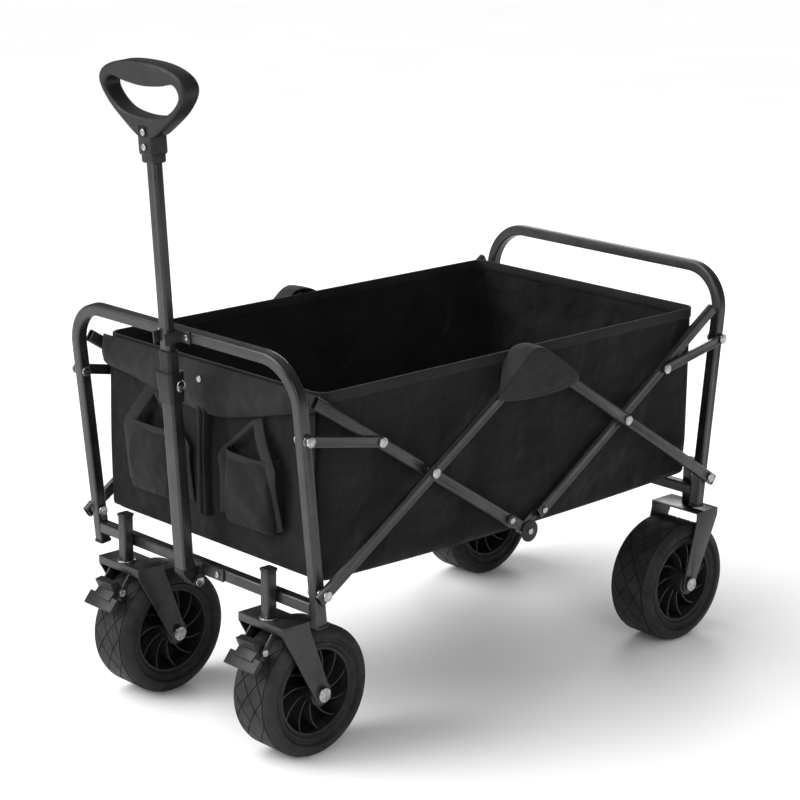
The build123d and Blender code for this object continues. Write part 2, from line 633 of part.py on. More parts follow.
def handle_pivot():
    """The pivot bolt's place in the handle's own frame."""
    y = HANDLE_PIVOT_Y - HANDLE_FOOT_Y
    z = HANDLE_PIVOT_Z - HANDLE_FOOT_Z
    lean = radians(HANDLE_LEAN)
    return (y * cos(lean) + z * sin(lean), z * cos(lean) - y * sin(lean))


def flat_tube(wide, deep, low, high):
    return extrude(Pos(0, 0, low) * section(wide, deep, 4, HANDLE_WALL), amount=high - low)


def yoke():
    """Plug in the lower tube's foot with a tang that reaches back to the pivot bolt."""
    y, z = handle_pivot()
    half_deep = LOWER_DEEP / 2
    tang = Polygon((-half_deep, 0), (half_deep, 0), (y + 6, z + 5), (y - 5, z - 6), (-half_deep, -6), align=None)
    tang += Pos(y, z) * Circle(EYE_HANDLE)
    body = slab(-EAR_X + GAP, EAR_X - GAP, tang)
    inside = 2 * HANDLE_WALL
    plug = RectangleRounded(LOWER_WIDE - inside, LOWER_DEEP - inside, 4 - HANDLE_WALL)
    body += extrude(plug, amount=YOKE_PLUG)
    return on_handle(body - rod(-LOWER_WIDE, LOWER_WIDE, y, z, HANDLE_BOLT + RUN))


def collar():
    """Tapered plastic collar over the two tubes, with a slim neck on top."""
    low = Pos(0, 0, COLLAR_LOW) * RectangleRounded(LOWER_WIDE + 5, LOWER_DEEP + 5, 5)
    top = Pos(0, 0, COLLAR_TOP) * RectangleRounded(LOWER_WIDE + 7, LOWER_DEEP + 9, 6)
    body = loft([low, top])
    neck = Pos(0, 0, COLLAR_TOP) * RectangleRounded(UPPER_WIDE + 4, UPPER_DEEP + 4, 5)
    body += extrude(neck, amount=COLLAR_NECK - COLLAR_TOP)
    lower = Pos(0, 0, COLLAR_LOW) * RectangleRounded(LOWER_WIDE, LOWER_DEEP, 4)
    body -= extrude(lower, amount=LOWER_LENGTH - COLLAR_LOW)
    upper = Pos(0, 0, COLLAR_LOW) * RectangleRounded(UPPER_WIDE + 2 * GAP, UPPER_DEEP + 2 * GAP, 4)
    body -= extrude(upper, amount=COLLAR_NECK - COLLAR_LOW)
    hole = (COLLAR_LOW + COLLAR_TOP) / 2
    return on_handle(body - rod(0, 2 * LOWER_WIDE, 0, hole, BOLT_RADIUS + RUN))


def lock_pin():
    """Spring pin in the collar's side, with the wire ring that draws it out."""
    height = (COLLAR_LOW + COLLAR_TOP) / 2
    start = LOWER_WIDE / 2 + GAP
    end = LOWER_WIDE / 2 + 9
    pin = rod(start, end, 0, height, BOLT_RADIUS)
    pin += rod(LOWER_WIDE / 2 + 4, end, 0, height, BOLT_RADIUS + 1.5)
    ring = Pos(end + 1, 0, height + 5) * Rot(0, 90, 0) * Torus(6, 0.9)
    return [on_handle(pin), on_handle(ring)]


def grip_outline():
    """The grip's loop seen from the front, widest just under its crowned top bar."""
    half = GRIP_HALF
    top = GRIP_TOP
    right = [(12, top - 96), (42, top - 77), (72, top - 54), (half, top - 30), (half - 12, top - 14)]
    right.append((half - 42, top - 4))
    around = [(0, top)] + [(-x, z) for x, z in reversed(right)]
    return make_face(Spline(right + around) + Line((-12, top - 96), (12, top - 96)))


def grip_opening():
    """The hole the fingers go through, its upper edge bowed down to fill the palm."""
    half = GRIP_HALF
    top = GRIP_TOP
    low = [(-half + 26, top - 22), (-half + 14, top - 36), (-half + 20, top - 50), (-44, top - 64)]
    hole_low = Spline(low + [(0, top - 69)] + [(-x, z) for x, z in reversed(low)])
    hole_top = ThreePointArc(low[0], (0, top - 31), (half - 26, top - 22))
    return make_face(hole_low + hole_top)


def grip():
    front = Plane.XZ.offset(-GRIP_DEEP / 2)
    loop = extrude(front * grip_outline(), amount=GRIP_DEEP)
    loop = fillet(loop.faces().filter_by(Axis.Y).edges().filter_by(GeomType.BSPLINE), GRIP_ROUND)
    loop -= extrude(front * grip_opening(), amount=GRIP_DEEP)
    neck = Pos(0, 0, GRIP_LOW + 12) * RectangleRounded(28, GRIP_DEEP, 4)
    body = loop + extrude(neck, amount=GRIP_TOP - 78 - GRIP_LOW - 12)
    foot = Pos(0, 0, GRIP_LOW) * RectangleRounded(25, 21, 4)
    body += extrude(foot, amount=12)
    socket = Pos(0, 0, GRIP_LOW) * RectangleRounded(UPPER_WIDE, UPPER_DEEP, 4)
    body -= extrude(socket, amount=GRIP_SOCKET)
    for height in grip_bolt_heights():
        body -= Pos(0, 0, height) * Rot(90, 0, 0) * Cylinder(BOLT_RADIUS, 2 * GRIP_DEEP)
    return on_handle(body)


def grip_bolt_heights():
    return (GRIP_LOW + 22, GRIP_LOW + 41)


def grip_bolts():
    face = GRIP_DEEP / 2
    bolts = []
    for height in grip_bolt_heights():
        shank = Pos(0, 0, height) * Rot(90, 0, 0) * Cylinder(BOLT_RADIUS, 2 * face)
        lift = face + BOLT_HEAD_THICK / 2
        head = Pos(0, -lift, height) * Rot(90, 0, 0) * Cylinder(BOLT_HEAD, BOLT_HEAD_THICK)
        nut = Pos(0, lift, height) * Rot(90, 0, 0) * Cylinder(BOLT_HEAD, BOLT_HEAD_THICK)
        bolts.append(on_handle(shank + head + nut))
    return bolts


def upper_tube():
    tube = flat_tube(UPPER_WIDE, UPPER_DEEP, LOWER_LENGTH - UPPER_HIDDEN, GRIP_LOW + GRIP_SOCKET)
    for height in grip_bolt_heights():
        tube -= Pos(0, 0, height) * Rot(90, 0, 0) * Cylinder(BOLT_RADIUS, 2 * UPPER_DEEP)
    return on_handle(tube)


def handle_bracket():
    """Saddle on the crossbar with two ears that carry the handle's pivot bolt."""
    face = -CROSSBAR_Y - TUBE / 2
    low = CROSSBAR_HEIGHT - TUBE / 2
    back = Pos(0, face - SHEET / 2, CROSSBAR_HEIGHT) * Box(2 * BRACKET_HALF, SHEET, TUBE)
    ear = Polygon(
        (face, low + TUBE),
        (face - SHEET - 2, low + TUBE),
        (HANDLE_PIVOT_Y - EYE_HANDLE, HANDLE_PIVOT_Z),
        (HANDLE_PIVOT_Y + 2, HANDLE_PIVOT_Z - EYE_HANDLE + 1),
        (face, low),
        align=None,
    )
    ear += Pos(HANDLE_PIVOT_Y, HANDLE_PIVOT_Z) * Circle(EYE_HANDLE)
    sides = slab(EAR_X, EAR_X + SHEET, ear)
    body = back + sides + left(sides)
    body -= rod(-2 * EAR_X, 2 * EAR_X, HANDLE_PIVOT_Y, HANDLE_PIVOT_Z, HANDLE_BOLT)
    for side in (1, -1):
        hole = Pos(side * SADDLE_SCREW_X, face, CROSSBAR_HEIGHT) * Rot(90, 0, 0)
        body -= hole * Cylinder(BOLT_RADIUS, 4 * SHEET)
    return body


def handle_clip():
    """Open clip on the top rail that holds the handle upright."""
    top = up_leg(RAIL_HEIGHT)
    face = -TUBE / 2
    body = Pos(0, face - SHEET / 2, top) * Box(2 * CLIP_HALF, SHEET, TUBE)
    inner = UPPER_WIDE / 2 + GAP + 0.2
    for side in (1, -1):
        x = side * (inner + SHEET / 2)
        body += Pos(x, face - SHEET - CLIP_REACH / 2, top) * Box(SHEET, CLIP_REACH, TUBE)
        body -= Pos(side * CLIP_SCREW_X, face, top) * Rot(90, 0, 0) * Cylinder(BOLT_RADIUS, 4 * SHEET)
    return on_frame(body)


def frame_bolts():
    """Handle pivot bolt, saddle screws and clip screws."""
    reach = EAR_X + SHEET
    pivot = rod(-reach, reach, HANDLE_PIVOT_Y, HANDLE_PIVOT_Z, HANDLE_BOLT)
    pivot += rod(reach, reach + 3, HANDLE_PIVOT_Y, HANDLE_PIVOT_Z, HANDLE_BOLT + 2.5)
    pivot += rod(-reach - 3, -reach, HANDLE_PIVOT_Y, HANDLE_PIVOT_Z, HANDLE_BOLT + 2.5)
    screw = Pos(0, -SHEET / 2, 0) * Rot(90, 0, 0) * Cylinder(BOLT_RADIUS, SHEET)
    head = Pos(0, -SHEET - BOLT_HEAD_THICK / 2, 0) * Rot(90, 0, 0)
    screw += head * Cylinder(BOLT_HEAD, BOLT_HEAD_THICK)
    face = -CROSSBAR_Y - TUBE / 2
    saddle = Pos(SADDLE_SCREW_X, face, CROSSBAR_HEIGHT) * screw
    clip = on_frame(Pos(CLIP_SCREW_X, -TUBE / 2, up_leg(RAIL_HEIGHT)) * screw)
    return [pivot] + both_sides(saddle) + both_sides(clip)


def write_handle():
    write("handle_bracket", handle_bracket())
    write("handle_clip", handle_clip())
    write("front_frame_bolts", *frame_bolts())
    write("handle_yoke", yoke())
    write("handle_lower_tube", on_handle(flat_tube(LOWER_WIDE, LOWER_DEEP, 0, LOWER_LENGTH)))
    write("handle_collar", collar())
    write("handle_lock_pin", *lock_pin())
    write("handle_upper_tube", upper_tube())
    write("handle_grip", grip())
    write("grip_bolts", *grip_bolts())


# ---------------------------------------------------------------- bag
def side_cap():
    """Fabric cap that hangs from the rim over an upper hinge pin."""
    inner_top = BAG_RIM + CAP_RISE
    flap = Polygon(
        (-CAP_HALF, BAG_RIM - 16),
        (-CAP_HALF + 10, BAG_RIM),
        (-12, inner_top + BAG_WALL),
        (12, inner_top + BAG_WALL),
        (CAP_HALF - 10, BAG_RIM),
        (CAP_HALF, BAG_RIM - 16),
        (22, CAP_LOW + 6),
        (0, CAP_LOW),
        (-22, CAP_LOW + 6),
        align=None,
    )
    cap = slab(CAP_OUT - BAG_WALL, CAP_OUT, flap)
    roof = Polygon((-14, inner_top), (-14, inner_top + BAG_WALL), (14, inner_top + BAG_WALL), (14, inner_top), align=None)
    cap += slab(BAG_HALF_X - BAG_WALL, CAP_OUT, roof)
    post = Polygon((-14, BAG_RIM - 20), (-14, inner_top + BAG_WALL), (14, inner_top + BAG_WALL), (14, BAG_RIM - 20), align=None)
    return cap + slab(BAG_HALF_X - BAG_WALL, BAG_HALF_X, post)


def bag():
    """Open-topped fabric bag with a cap over each upper hinge pin."""
    height = BAG_RIM - BAG_LOW
    outer = RectangleRounded(2 * BAG_HALF_X, 2 * BAG_HALF_Y, BAG_CORNER)
    inside = 2 * (BAG_HALF_X - BAG_WALL), 2 * (BAG_HALF_Y - BAG_WALL)
    hollow = RectangleRounded(*inside, BAG_CORNER - BAG_WALL)
    body = extrude(Pos(0, 0, BAG_LOW) * outer, amount=height)
    body -= extrude(Pos(0, 0, BAG_LOW + BAG_WALL) * hollow, amount=height)
    return body + side_cap() + left(side_cap())


def organiser():
    """Front panel with a cup pouch on each side of the handle."""
    face = -BAG_HALF_Y
    panel = Pos(0, face - PANEL_THICK / 2 - GAP, (BAG_LOW + BAG_RIM) / 2) * Box(
        2 * BAG_HALF_X - 2 * BAG_CORNER, PANEL_THICK, BAG_RIM - BAG_LOW - 20
    )
    front = face - GAP - PANEL_THICK
    for side in (1, -1):
        place = Pos(side * POUCH_X, front, POUCH_LOW)
        outer = Ellipse(POUCH_HALF, POUCH_DEEP) & Pos(0, -POUCH_DEEP / 2) * Rectangle(3 * POUCH_HALF, POUCH_DEEP)
        inner = Ellipse(POUCH_HALF - 2, POUCH_DEEP - 2) & Pos(0, -POUCH_DEEP / 2) * Rectangle(
            3 * POUCH_HALF, POUCH_DEEP
        )
        panel += place * extrude(outer, amount=POUCH_HIGH - POUCH_LOW)
        panel -= place * Pos(0, 0, 2) * extrude(inner, amount=POUCH_HIGH)
    return panel


write_bars()
write_frames()
write_casters()
write_wheels()
write_handle()
write("cargo_bag", bag())
write("front_organiser", organiser())
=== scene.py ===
# %% [markdown]
# # A folding beach cart
# The steel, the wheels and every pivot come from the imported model, which stays where it is.
# This lesson dresses that model: powder-coated tube, zinc-plated rivets, moulded wheels, a sewn
# polyester bag and a hand grip.  Lengths are in metres, Z is up and the handle end is at -Y.

# %% Load the frame
import json
from math import atan2, cos, pi, radians, sin, sqrt

import bmesh
import bpy
from mathutils import Matrix, Vector

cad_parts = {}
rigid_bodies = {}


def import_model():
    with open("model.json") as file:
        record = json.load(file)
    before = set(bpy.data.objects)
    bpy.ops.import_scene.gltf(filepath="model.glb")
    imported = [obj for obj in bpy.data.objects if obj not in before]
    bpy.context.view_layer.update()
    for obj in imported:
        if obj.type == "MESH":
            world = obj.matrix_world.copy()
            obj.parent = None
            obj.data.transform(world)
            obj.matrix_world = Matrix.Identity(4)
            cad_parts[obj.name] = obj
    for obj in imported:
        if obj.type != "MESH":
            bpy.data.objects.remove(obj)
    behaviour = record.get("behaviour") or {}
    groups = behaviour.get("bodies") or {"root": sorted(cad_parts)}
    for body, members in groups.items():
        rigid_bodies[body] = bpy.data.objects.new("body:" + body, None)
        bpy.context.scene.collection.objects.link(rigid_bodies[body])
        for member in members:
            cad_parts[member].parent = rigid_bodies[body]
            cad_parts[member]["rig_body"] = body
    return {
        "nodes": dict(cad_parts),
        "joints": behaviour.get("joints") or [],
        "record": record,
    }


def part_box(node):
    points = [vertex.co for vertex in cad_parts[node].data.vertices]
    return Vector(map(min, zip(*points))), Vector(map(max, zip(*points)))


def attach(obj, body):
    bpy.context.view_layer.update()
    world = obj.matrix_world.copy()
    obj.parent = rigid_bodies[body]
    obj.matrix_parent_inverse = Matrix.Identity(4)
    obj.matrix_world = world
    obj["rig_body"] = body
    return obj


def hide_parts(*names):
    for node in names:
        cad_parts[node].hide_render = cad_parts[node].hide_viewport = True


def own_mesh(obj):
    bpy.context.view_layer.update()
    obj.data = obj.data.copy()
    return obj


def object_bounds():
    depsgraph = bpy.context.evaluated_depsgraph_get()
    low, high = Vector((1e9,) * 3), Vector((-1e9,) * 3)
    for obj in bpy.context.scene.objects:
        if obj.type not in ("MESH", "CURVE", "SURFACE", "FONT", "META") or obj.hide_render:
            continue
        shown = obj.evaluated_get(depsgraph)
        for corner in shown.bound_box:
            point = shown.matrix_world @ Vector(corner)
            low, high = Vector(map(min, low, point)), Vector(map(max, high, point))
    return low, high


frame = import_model()
cad_box = [list(corner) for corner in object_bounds()]
record = frame["record"]
joints = {joint["name"]: joint for joint in frame["joints"]}
openings = {entry["name"]: entry["box_m"] for entry in record["physics"]["openings"]}
print("nodes", len(frame["nodes"]), "cad box", cad_box)

# %% [markdown]
# ## Camera, floor and light
# A long lens from above the handle end keeps the frame's lines nearly parallel.  A pale floor
# without a horizon, one broad soft sun and a big panel on the handle side give each square tube
# a bright face and a dark face, which is what makes black steel readable.  The sky is white to
# the camera, half as bright on the cloth and dark in reflections, so that the coat stays black.

# %% Camera
CAMERA_PLACE = Vector((2.3332, -2.2379, 1.2796))
CAMERA_YAW = radians(-46.2)
CAMERA_PITCH = radians(15.4)
CAMERA_ROLL = radians(0.6)
CAMERA_LENS = 106.4


def aim(camera, yaw, pitch, roll):
    """Turns a camera about its place: yaw from +Y, pitch down, roll clockwise."""
    right = Vector((cos(yaw), -sin(yaw), 0))
    ahead = Vector((sin(yaw) * cos(pitch), cos(yaw) * cos(pitch), -sin(pitch)))
    up = right.cross(ahead)
    level = right * cos(roll) + up * sin(roll)
    top = up * cos(roll) - right * sin(roll)
    axes = Matrix((level, top, -ahead)).transposed()
    camera.matrix_world = Matrix.Translation(CAMERA_PLACE) @ axes.to_4x4()


camera = bpy.data.objects.new("camera", bpy.data.cameras.new("camera"))
bpy.context.scene.collection.objects.link(camera)
camera.data.lens = CAMERA_LENS
camera.data.clip_end = 60
aim(camera, CAMERA_YAW, CAMERA_PITCH, CAMERA_ROLL)
bpy.context.scene.camera = camera

# %% Light
FLOOR_HALF = 20
SKY_FILL = 0.48
SKY_MIRRORED = 0.14


def lamp(name, kind, energy, place, target, size):
    light = bpy.data.lights.new(name, kind)
    light.energy = energy
    if kind == "SUN":
        light.angle = size
    else:
        light.shape = "DISK"
        light.size = size
    piece = bpy.data.objects.new(name, light)
    bpy.context.scene.collection.objects.link(piece)
    piece.location = place
    piece.rotation_euler = (Vector(target) - Vector(place)).to_track_quat("-Z", "Y").to_euler()
    return piece


middle = (Vector(cad_box[0]) + Vector(cad_box[1])) / 2
lamp("overhead_sun", "SUN", 2.9, (-1.2, -1.6, 3.2), middle, radians(55))
lamp("handle_side_panel", "AREA", 40, (-1.3, -2.6, 1.5), middle, 1.6)
lamp("far_rim_panel", "AREA", 26, (-1.8, 2.4, 1.8), middle, 1.4)
lamp("near_fill_panel", "AREA", 27, (2.6, -1.2, 1.7), middle, 1.8)

world = bpy.data.worlds.new("studio")
world.use_nodes = True
sky = world.node_tree
ray = sky.nodes.new("ShaderNodeLightPath")
level = sky.nodes.new("ShaderNodeMapRange")
level.inputs["To Min"].default_value = SKY_FILL
level.inputs["To Max"].default_value = SKY_MIRRORED
sky.links.new(ray.outputs["Is Glossy Ray"], level.inputs["Value"])
sky.nodes["Background"].inputs["Color"].default_value = (1, 1, 1, 1)
seen = sky.nodes.new("ShaderNodeMath")
seen.operation = "MAXIMUM"
sky.links.new(level.outputs["Result"], seen.inputs[0])
sky.links.new(ray.outputs["Is Camera Ray"], seen.inputs[1])
sky.links.new(seen.outputs[0], sky.nodes["Background"].inputs["Strength"])
bpy.context.scene.world = world
bpy.context.scene.view_settings.view_transform = "Standard"

floor_mesh = bmesh.new()
bmesh.ops.create_grid(floor_mesh, x_segments=2, y_segments=2, size=FLOOR_HALF)
floor_data = bpy.data.meshes.new("floor")
floor_mesh.to_mesh(floor_data)
floor_mesh.free()
floor = bpy.data.objects.new("floor", floor_data)
bpy.context.scene.collection.objects.link(floor)
print("camera, floor and four lights are in place")

# %% [markdown]
# ## Finishes
# Each finish is a small node tree on Object coordinates: a colour that drifts, a roughness that
# drifts and one or two reliefs at the size of the real thing, such as the orange peel of powder
# coat, the grain of a mould or the weave of the cloth.

# %% Helpers for finishes
def finish(name, colour, roughness, metallic=0.0, **sockets):
    """A new material with its plain values set, and its node tree."""
    material = bpy.data.materials.new(name)
    material.use_nodes = True
    material.diffuse_color = (*colour, 1)
    tree = material.node_tree
    shader = tree.nodes["Principled BSDF"]
    shader.inputs["Base Color"].default_value = (*colour, 1)
    shader.inputs["Roughness"].default_value = roughness
    shader.inputs["Metallic"].default_value = metallic
    for socket, value in sockets.items():
        shader.inputs[socket.replace("_", " ")].default_value = value
    place = tree.nodes.new("ShaderNodeTexCoord")
    return material, tree, shader, place.outputs["Object"]


def speckle(tree, place, scale, detail=4.0, roughness=0.6):
    """Noise of a given fineness, from 0 to 1."""
    noise = tree.nodes.new("ShaderNodeTexNoise")
    noise.inputs["Scale"].default_value = scale
    noise.inputs["Detail"].default_value = detail
    noise.inputs["Roughness"].default_value = roughness
    tree.links.new(place, noise.inputs["Vector"])
    return noise.outputs["Fac"]


def stretch(tree, value, low, high, start=0.3, end=0.7):
    """Maps a value between start and end onto low to high."""
    node = tree.nodes.new("ShaderNodeMapRange")
    node.inputs["From Min"].default_value = start
    node.inputs["From Max"].default_value = end
    node.inputs["To Min"].default_value = low
    node.inputs["To Max"].default_value = high
    tree.links.new(value, node.inputs["Value"])
    return node.outputs["Result"]


def tint(tree, shader, value, dark, light, start=0.35, end=0.65):
    """Colours the surface from dark to light with a value."""
    ramp = tree.nodes.new("ShaderNodeValToRGB")
    ramp.color_ramp.elements[0].position = start
    ramp.color_ramp.elements[0].color = (*dark, 1)
    ramp.color_ramp.elements[1].position = end
    ramp.color_ramp.elements[1].color = (*light, 1)
    tree.links.new(value, ramp.inputs["Fac"])
    tree.links.new(ramp.outputs["Color"], shader.inputs["Base Color"])
    return ramp


def relief(tree, shader, height, distance, strength=1.0):
    """Adds a bump of a given depth on top of any bump that is there already."""
    bump = tree.nodes.new("ShaderNodeBump")
    bump.inputs["Distance"].default_value = distance
    bump.inputs["Strength"].default_value = strength
    tree.links.new(height, bump.inputs["Height"])
    before = shader.inputs["Normal"].links
    if before:
        tree.links.new(before[0].from_socket, bump.inputs["Normal"])
    tree.links.new(bump.outputs["Normal"], shader.inputs["Normal"])


def reckon(tree, operation, first, second=None):
    """One Math node; an input is a socket or a number."""
    node = tree.nodes.new("ShaderNodeMath")
    node.operation = operation
    for socket, value in zip(node.inputs, (first, second)):
        if isinstance(value, (int, float)):
            socket.default_value = value
        elif value is not None:
            tree.links.new(value, socket)
    return node.outputs[0]


# %% Powder-coated steel
def powder_coat(name, dark, light, roughness):
    """Black powder coat: fine orange peel, cloudy gloss, faint scuffs."""
    material, tree, shader, place = finish(name, light, roughness, Specular_IOR_Level=0.5)
    tint(tree, shader, speckle(tree, place, 22, 6), dark, light)
    cloud = stretch(tree, speckle(tree, place, 60, 3), roughness - 0.07, roughness + 0.09)
    tree.links.new(cloud, shader.inputs["Roughness"])
    relief(tree, shader, speckle(tree, place, 950, 2), 0.00010)
    relief(tree, shader, speckle(tree, place, 140, 2), 0.00012)
    return material


STEEL = powder_coat("black_powder_coat", (0.006, 0.006, 0.0065), (0.018, 0.018, 0.019), 0.32)
STEEL_SATIN = powder_coat("satin_handle_coat", (0.006, 0.006, 0.0065), (0.016, 0.016, 0.017), 0.30)
STAMPED = powder_coat("coated_stampings", (0.006, 0.006, 0.0065), (0.020, 0.020, 0.021), 0.34)


# %% Zinc-plated rivets and bolts
def zinc():
    """Bright zinc: a soft grey mirror with fine turning marks and a few dull spots."""
    material, tree, shader, place = finish("bright_zinc", (0.42, 0.43, 0.44), 0.28, 1.0)
    tint(tree, shader, speckle(tree, place, 240, 5), (0.22, 0.225, 0.23), (0.52, 0.52, 0.515))
    dull = stretch(tree, speckle(tree, place, 420, 4), 0.18, 0.42)
    tree.links.new(dull, shader.inputs["Roughness"])
    relief(tree, shader, speckle(tree, place, 1500, 2), 0.00004)
    return material


ZINC = zinc()


# %% Moulded plastic
def moulded(name, dark, light, roughness, grain=0.00006, cells=1100):
    """Injection-moulded plastic: spark-eroded grain, slight flow clouds."""
    material, tree, shader, place = finish(name, light, roughness, Specular_IOR_Level=0.30)
    tint(tree, shader, speckle(tree, place, 35, 5), dark, light)
    cloud = stretch(tree, speckle(tree, place, 90, 4), roughness - 0.06, roughness + 0.08)
    tree.links.new(cloud, shader.inputs["Roughness"])
    voronoi = tree.nodes.new("ShaderNodeTexVoronoi")
    voronoi.inputs["Scale"].default_value = cells
    tree.links.new(place, voronoi.inputs["Vector"])
    relief(tree, shader, voronoi.outputs["Distance"], grain)
    return material


PLASTIC = moulded("black_moulded_plastic", (0.006, 0.006, 0.0065), (0.013, 0.013, 0.014), 0.46)
GRIP_PLASTIC = moulded(
    "soft_touch_grip", (0.006, 0.006, 0.0065), (0.014, 0.014, 0.0145), 0.46, grain=0.00010, cells=850
)
HUB_PLASTIC = moulded("hub_plastic", (0.007, 0.007, 0.0075), (0.018, 0.018, 0.0185), 0.33, grain=0.00003)


# %% Tyre
def tyre_rubber():
    """Moulded tyre: matt black with a dusty bloom and a fine pitted skin."""
    material, tree, shader, place = finish("tyre_rubber", (0.015, 0.015, 0.0155), 0.62)
    shader.inputs["Specular IOR Level"].default_value = 0.26
    tint(tree, shader, speckle(tree, place, 30, 7, 0.7), (0.007, 0.007, 0.007), (0.022, 0.0215, 0.021))
    bloom = stretch(tree, speckle(tree, place, 75, 5), 0.52, 0.74)
    tree.links.new(bloom, shader.inputs["Roughness"])
    relief(tree, shader, speckle(tree, place, 1300, 3), 0.00012)
    relief(tree, shader, speckle(tree, place, 45, 2), 0.0004)
    return material


TYRE = tyre_rubber()

# %% [markdown]
# The cloth is 600 denier polyester in plain weave.  On an upright panel the product of a sine
# along the panel and a sine up it gives the over-and-under of the threads; a floor panel takes
# its two sines from X and Y instead.  Neither needs a UV map.

# %% Cloth, webbing and thread
THREAD_PITCH = 0.0011
CRUMPLE = 0.014            # depth of the soft creases


def woven(name, dark, light, upright=True, pitch=THREAD_PITCH, depth=0.00016, rough=0.72, crumple=CRUMPLE):
    """Plain weave: over-and-under threads, a faded cloudiness, small and large creases."""
    material, tree, shader, place = finish(name, light, rough, Sheen_Weight=0.05, Sheen_Roughness=0.45)
    shader.inputs["Specular IOR Level"].default_value = 0.16
    axes = tree.nodes.new("ShaderNodeSeparateXYZ")
    tree.links.new(place, axes.inputs["Vector"])
    x, y, z = (axes.outputs[axis] for axis in "XYZ")
    turn = pi / pitch
    along = reckon(tree, "ADD", x, y) if upright else x
    across = z if upright else y
    warp = reckon(tree, "SINE", reckon(tree, "MULTIPLY", along, turn))
    weft = reckon(tree, "SINE", reckon(tree, "MULTIPLY", across, turn))
    weave = reckon(tree, "MULTIPLY", warp, weft)
    cloud = speckle(tree, place, 9, 6, 0.65)
    mottled = reckon(tree, "ADD", reckon(tree, "MULTIPLY", weave, 0.10), cloud)
    tint(tree, shader, mottled, dark, light, 0.3, 0.75)
    worn = stretch(tree, speckle(tree, place, 14, 5), rough - 0.08, rough + 0.10)
    tree.links.new(worn, shader.inputs["Roughness"])
    relief(tree, shader, weave, depth)
    relief(tree, shader, speckle(tree, place, 55, 4), 0.0007)
    relief(tree, shader, speckle(tree, place, 19, 2, 0.5), crumple)
    return material


CLOTH = woven("black_polyester", (0.0030, 0.0030, 0.0032), (0.0085, 0.0085, 0.0090))
FLOOR_CLOTH = woven(
    "black_polyester_floor", (0.0032, 0.0032, 0.0035), (0.0090, 0.0090, 0.0095), upright=False
)
WEBBING = woven(
    "black_webbing", (0.006, 0.006, 0.0065), (0.016, 0.016, 0.017),
    pitch=0.0018, depth=0.0003, rough=0.6, crumple=0.001,
)
# Painted light: the bag's black polyester, coloured about three times lighter where the hoods and the flap
# face the light.
PAINTED_LIGHT_CLOTH = woven("painted_light_polyester", (0.0095, 0.0095, 0.0100), (0.0270, 0.0270, 0.0280))
THREAD = woven(
    "black_thread", (0.012, 0.012, 0.013), (0.030, 0.030, 0.032),
    pitch=0.0006, depth=0.00008, rough=0.5, crumple=0.0,
)


def pale_floor():
    """Painted floor with the faintest drift in its tone."""
    material, tree, shader, place = finish("pale_floor", (0.86, 0.86, 0.86), 0.75)
    tint(tree, shader, speckle(tree, place, 1.5), (0.85, 0.85, 0.85), (0.87, 0.87, 0.87))
    return material


floor.data.materials.append(pale_floor())
print("finishes:", sorted(material.name for material in bpy.data.materials))

# %% [markdown]
# ## Easing the hard pieces
# A real stamping or tube never ends in a perfect corner.  Each hard node is copied, its loose
# triangles are welded, flat areas are dissolved and the sharp edges get a small bevel.  The
# copy then stands for the node, so that the light catches every edge.

# %% Helpers for pieces
SHARP = radians(38)
FLAT = radians(1.5)


def shade(mesh, angle=SHARP):
    """Smooth shading that breaks at edges sharper than the angle."""
    mesh.shade_smooth()
    mesh.set_sharp_from_angle(angle=angle)


def whole(shape):
    return shape.verts[:] + shape.edges[:] + shape.faces[:]


def new_verts(result):
    return [item for item in result["geom"] if isinstance(item, bmesh.types.BMVert)]


def sharp_edges(shape, angle=radians(60)):
    return [e for e in shape.edges if e.is_manifold and e.calc_face_angle(0) > angle]


def ease(shape, parts, offset, segments, affect="EDGES", clamp=False):
    """Rounds edges, or the corners of a flat outline, with a bevel."""
    bmesh.ops.bevel(
        shape, geom=parts, offset=offset, segments=segments, profile=0.5,
        affect=affect, material=-1, clamp_overlap=clamp,
    )


def outward(shape):
    """Points every face away from the inside."""
    bmesh.ops.recalc_face_normals(shape, faces=shape.faces)


def smooth_points(points, per_span, closed=False):
    """A smooth curve through given points, as vectors."""
    known = [Vector(point) for point in points]
    count = len(known)
    spans = count if closed else count - 1
    found = []
    for i in range(spans):
        picks = [(i + k) % count if closed else min(max(i + k, 0), count - 1) for k in (-1, 0, 1, 2)]
        a, b, c, d = (known[pick] for pick in picks)
        for step in range(per_span):
            t = step / per_span
            curve = 2 * b + (c - a) * t + (2 * a - 5 * b + 4 * c - d) * t * t
            found.append((curve + (3 * b - a - 3 * c + d) * t ** 3) / 2)
    if not closed:
        found.append(known[-1])
    return found


def piece_from(name, shape, material, body, angle=SHARP):
    """Turns a bmesh into a finished piece that rides on a body."""
    mesh = bpy.data.meshes.new(name)
    shape.to_mesh(mesh)
    shape.free()
    shade(mesh, angle)
    mesh.materials.append(material)
    piece = bpy.data.objects.new(name, mesh)
    bpy.context.scene.collection.objects.link(piece)
    if body:
        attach(piece, body)
    return piece


def eased(node, width, material):
    """A copy of a hard node with its sharp edges eased, standing for that node."""
    source = frame["nodes"][node]
    shape = bmesh.new()
    shape.from_mesh(source.data)
    bmesh.ops.remove_doubles(shape, verts=shape.verts, dist=0.00002)
    bmesh.ops.dissolve_limit(
        shape, angle_limit=FLAT, verts=shape.verts, edges=shape.edges, delimit={"NORMAL"}
    )
    ease(shape, sharp_edges(shape, SHARP), width, 2, clamp=True)
    piece = piece_from(node + "_finished", shape, material, source["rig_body"])
    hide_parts(node)
    return piece


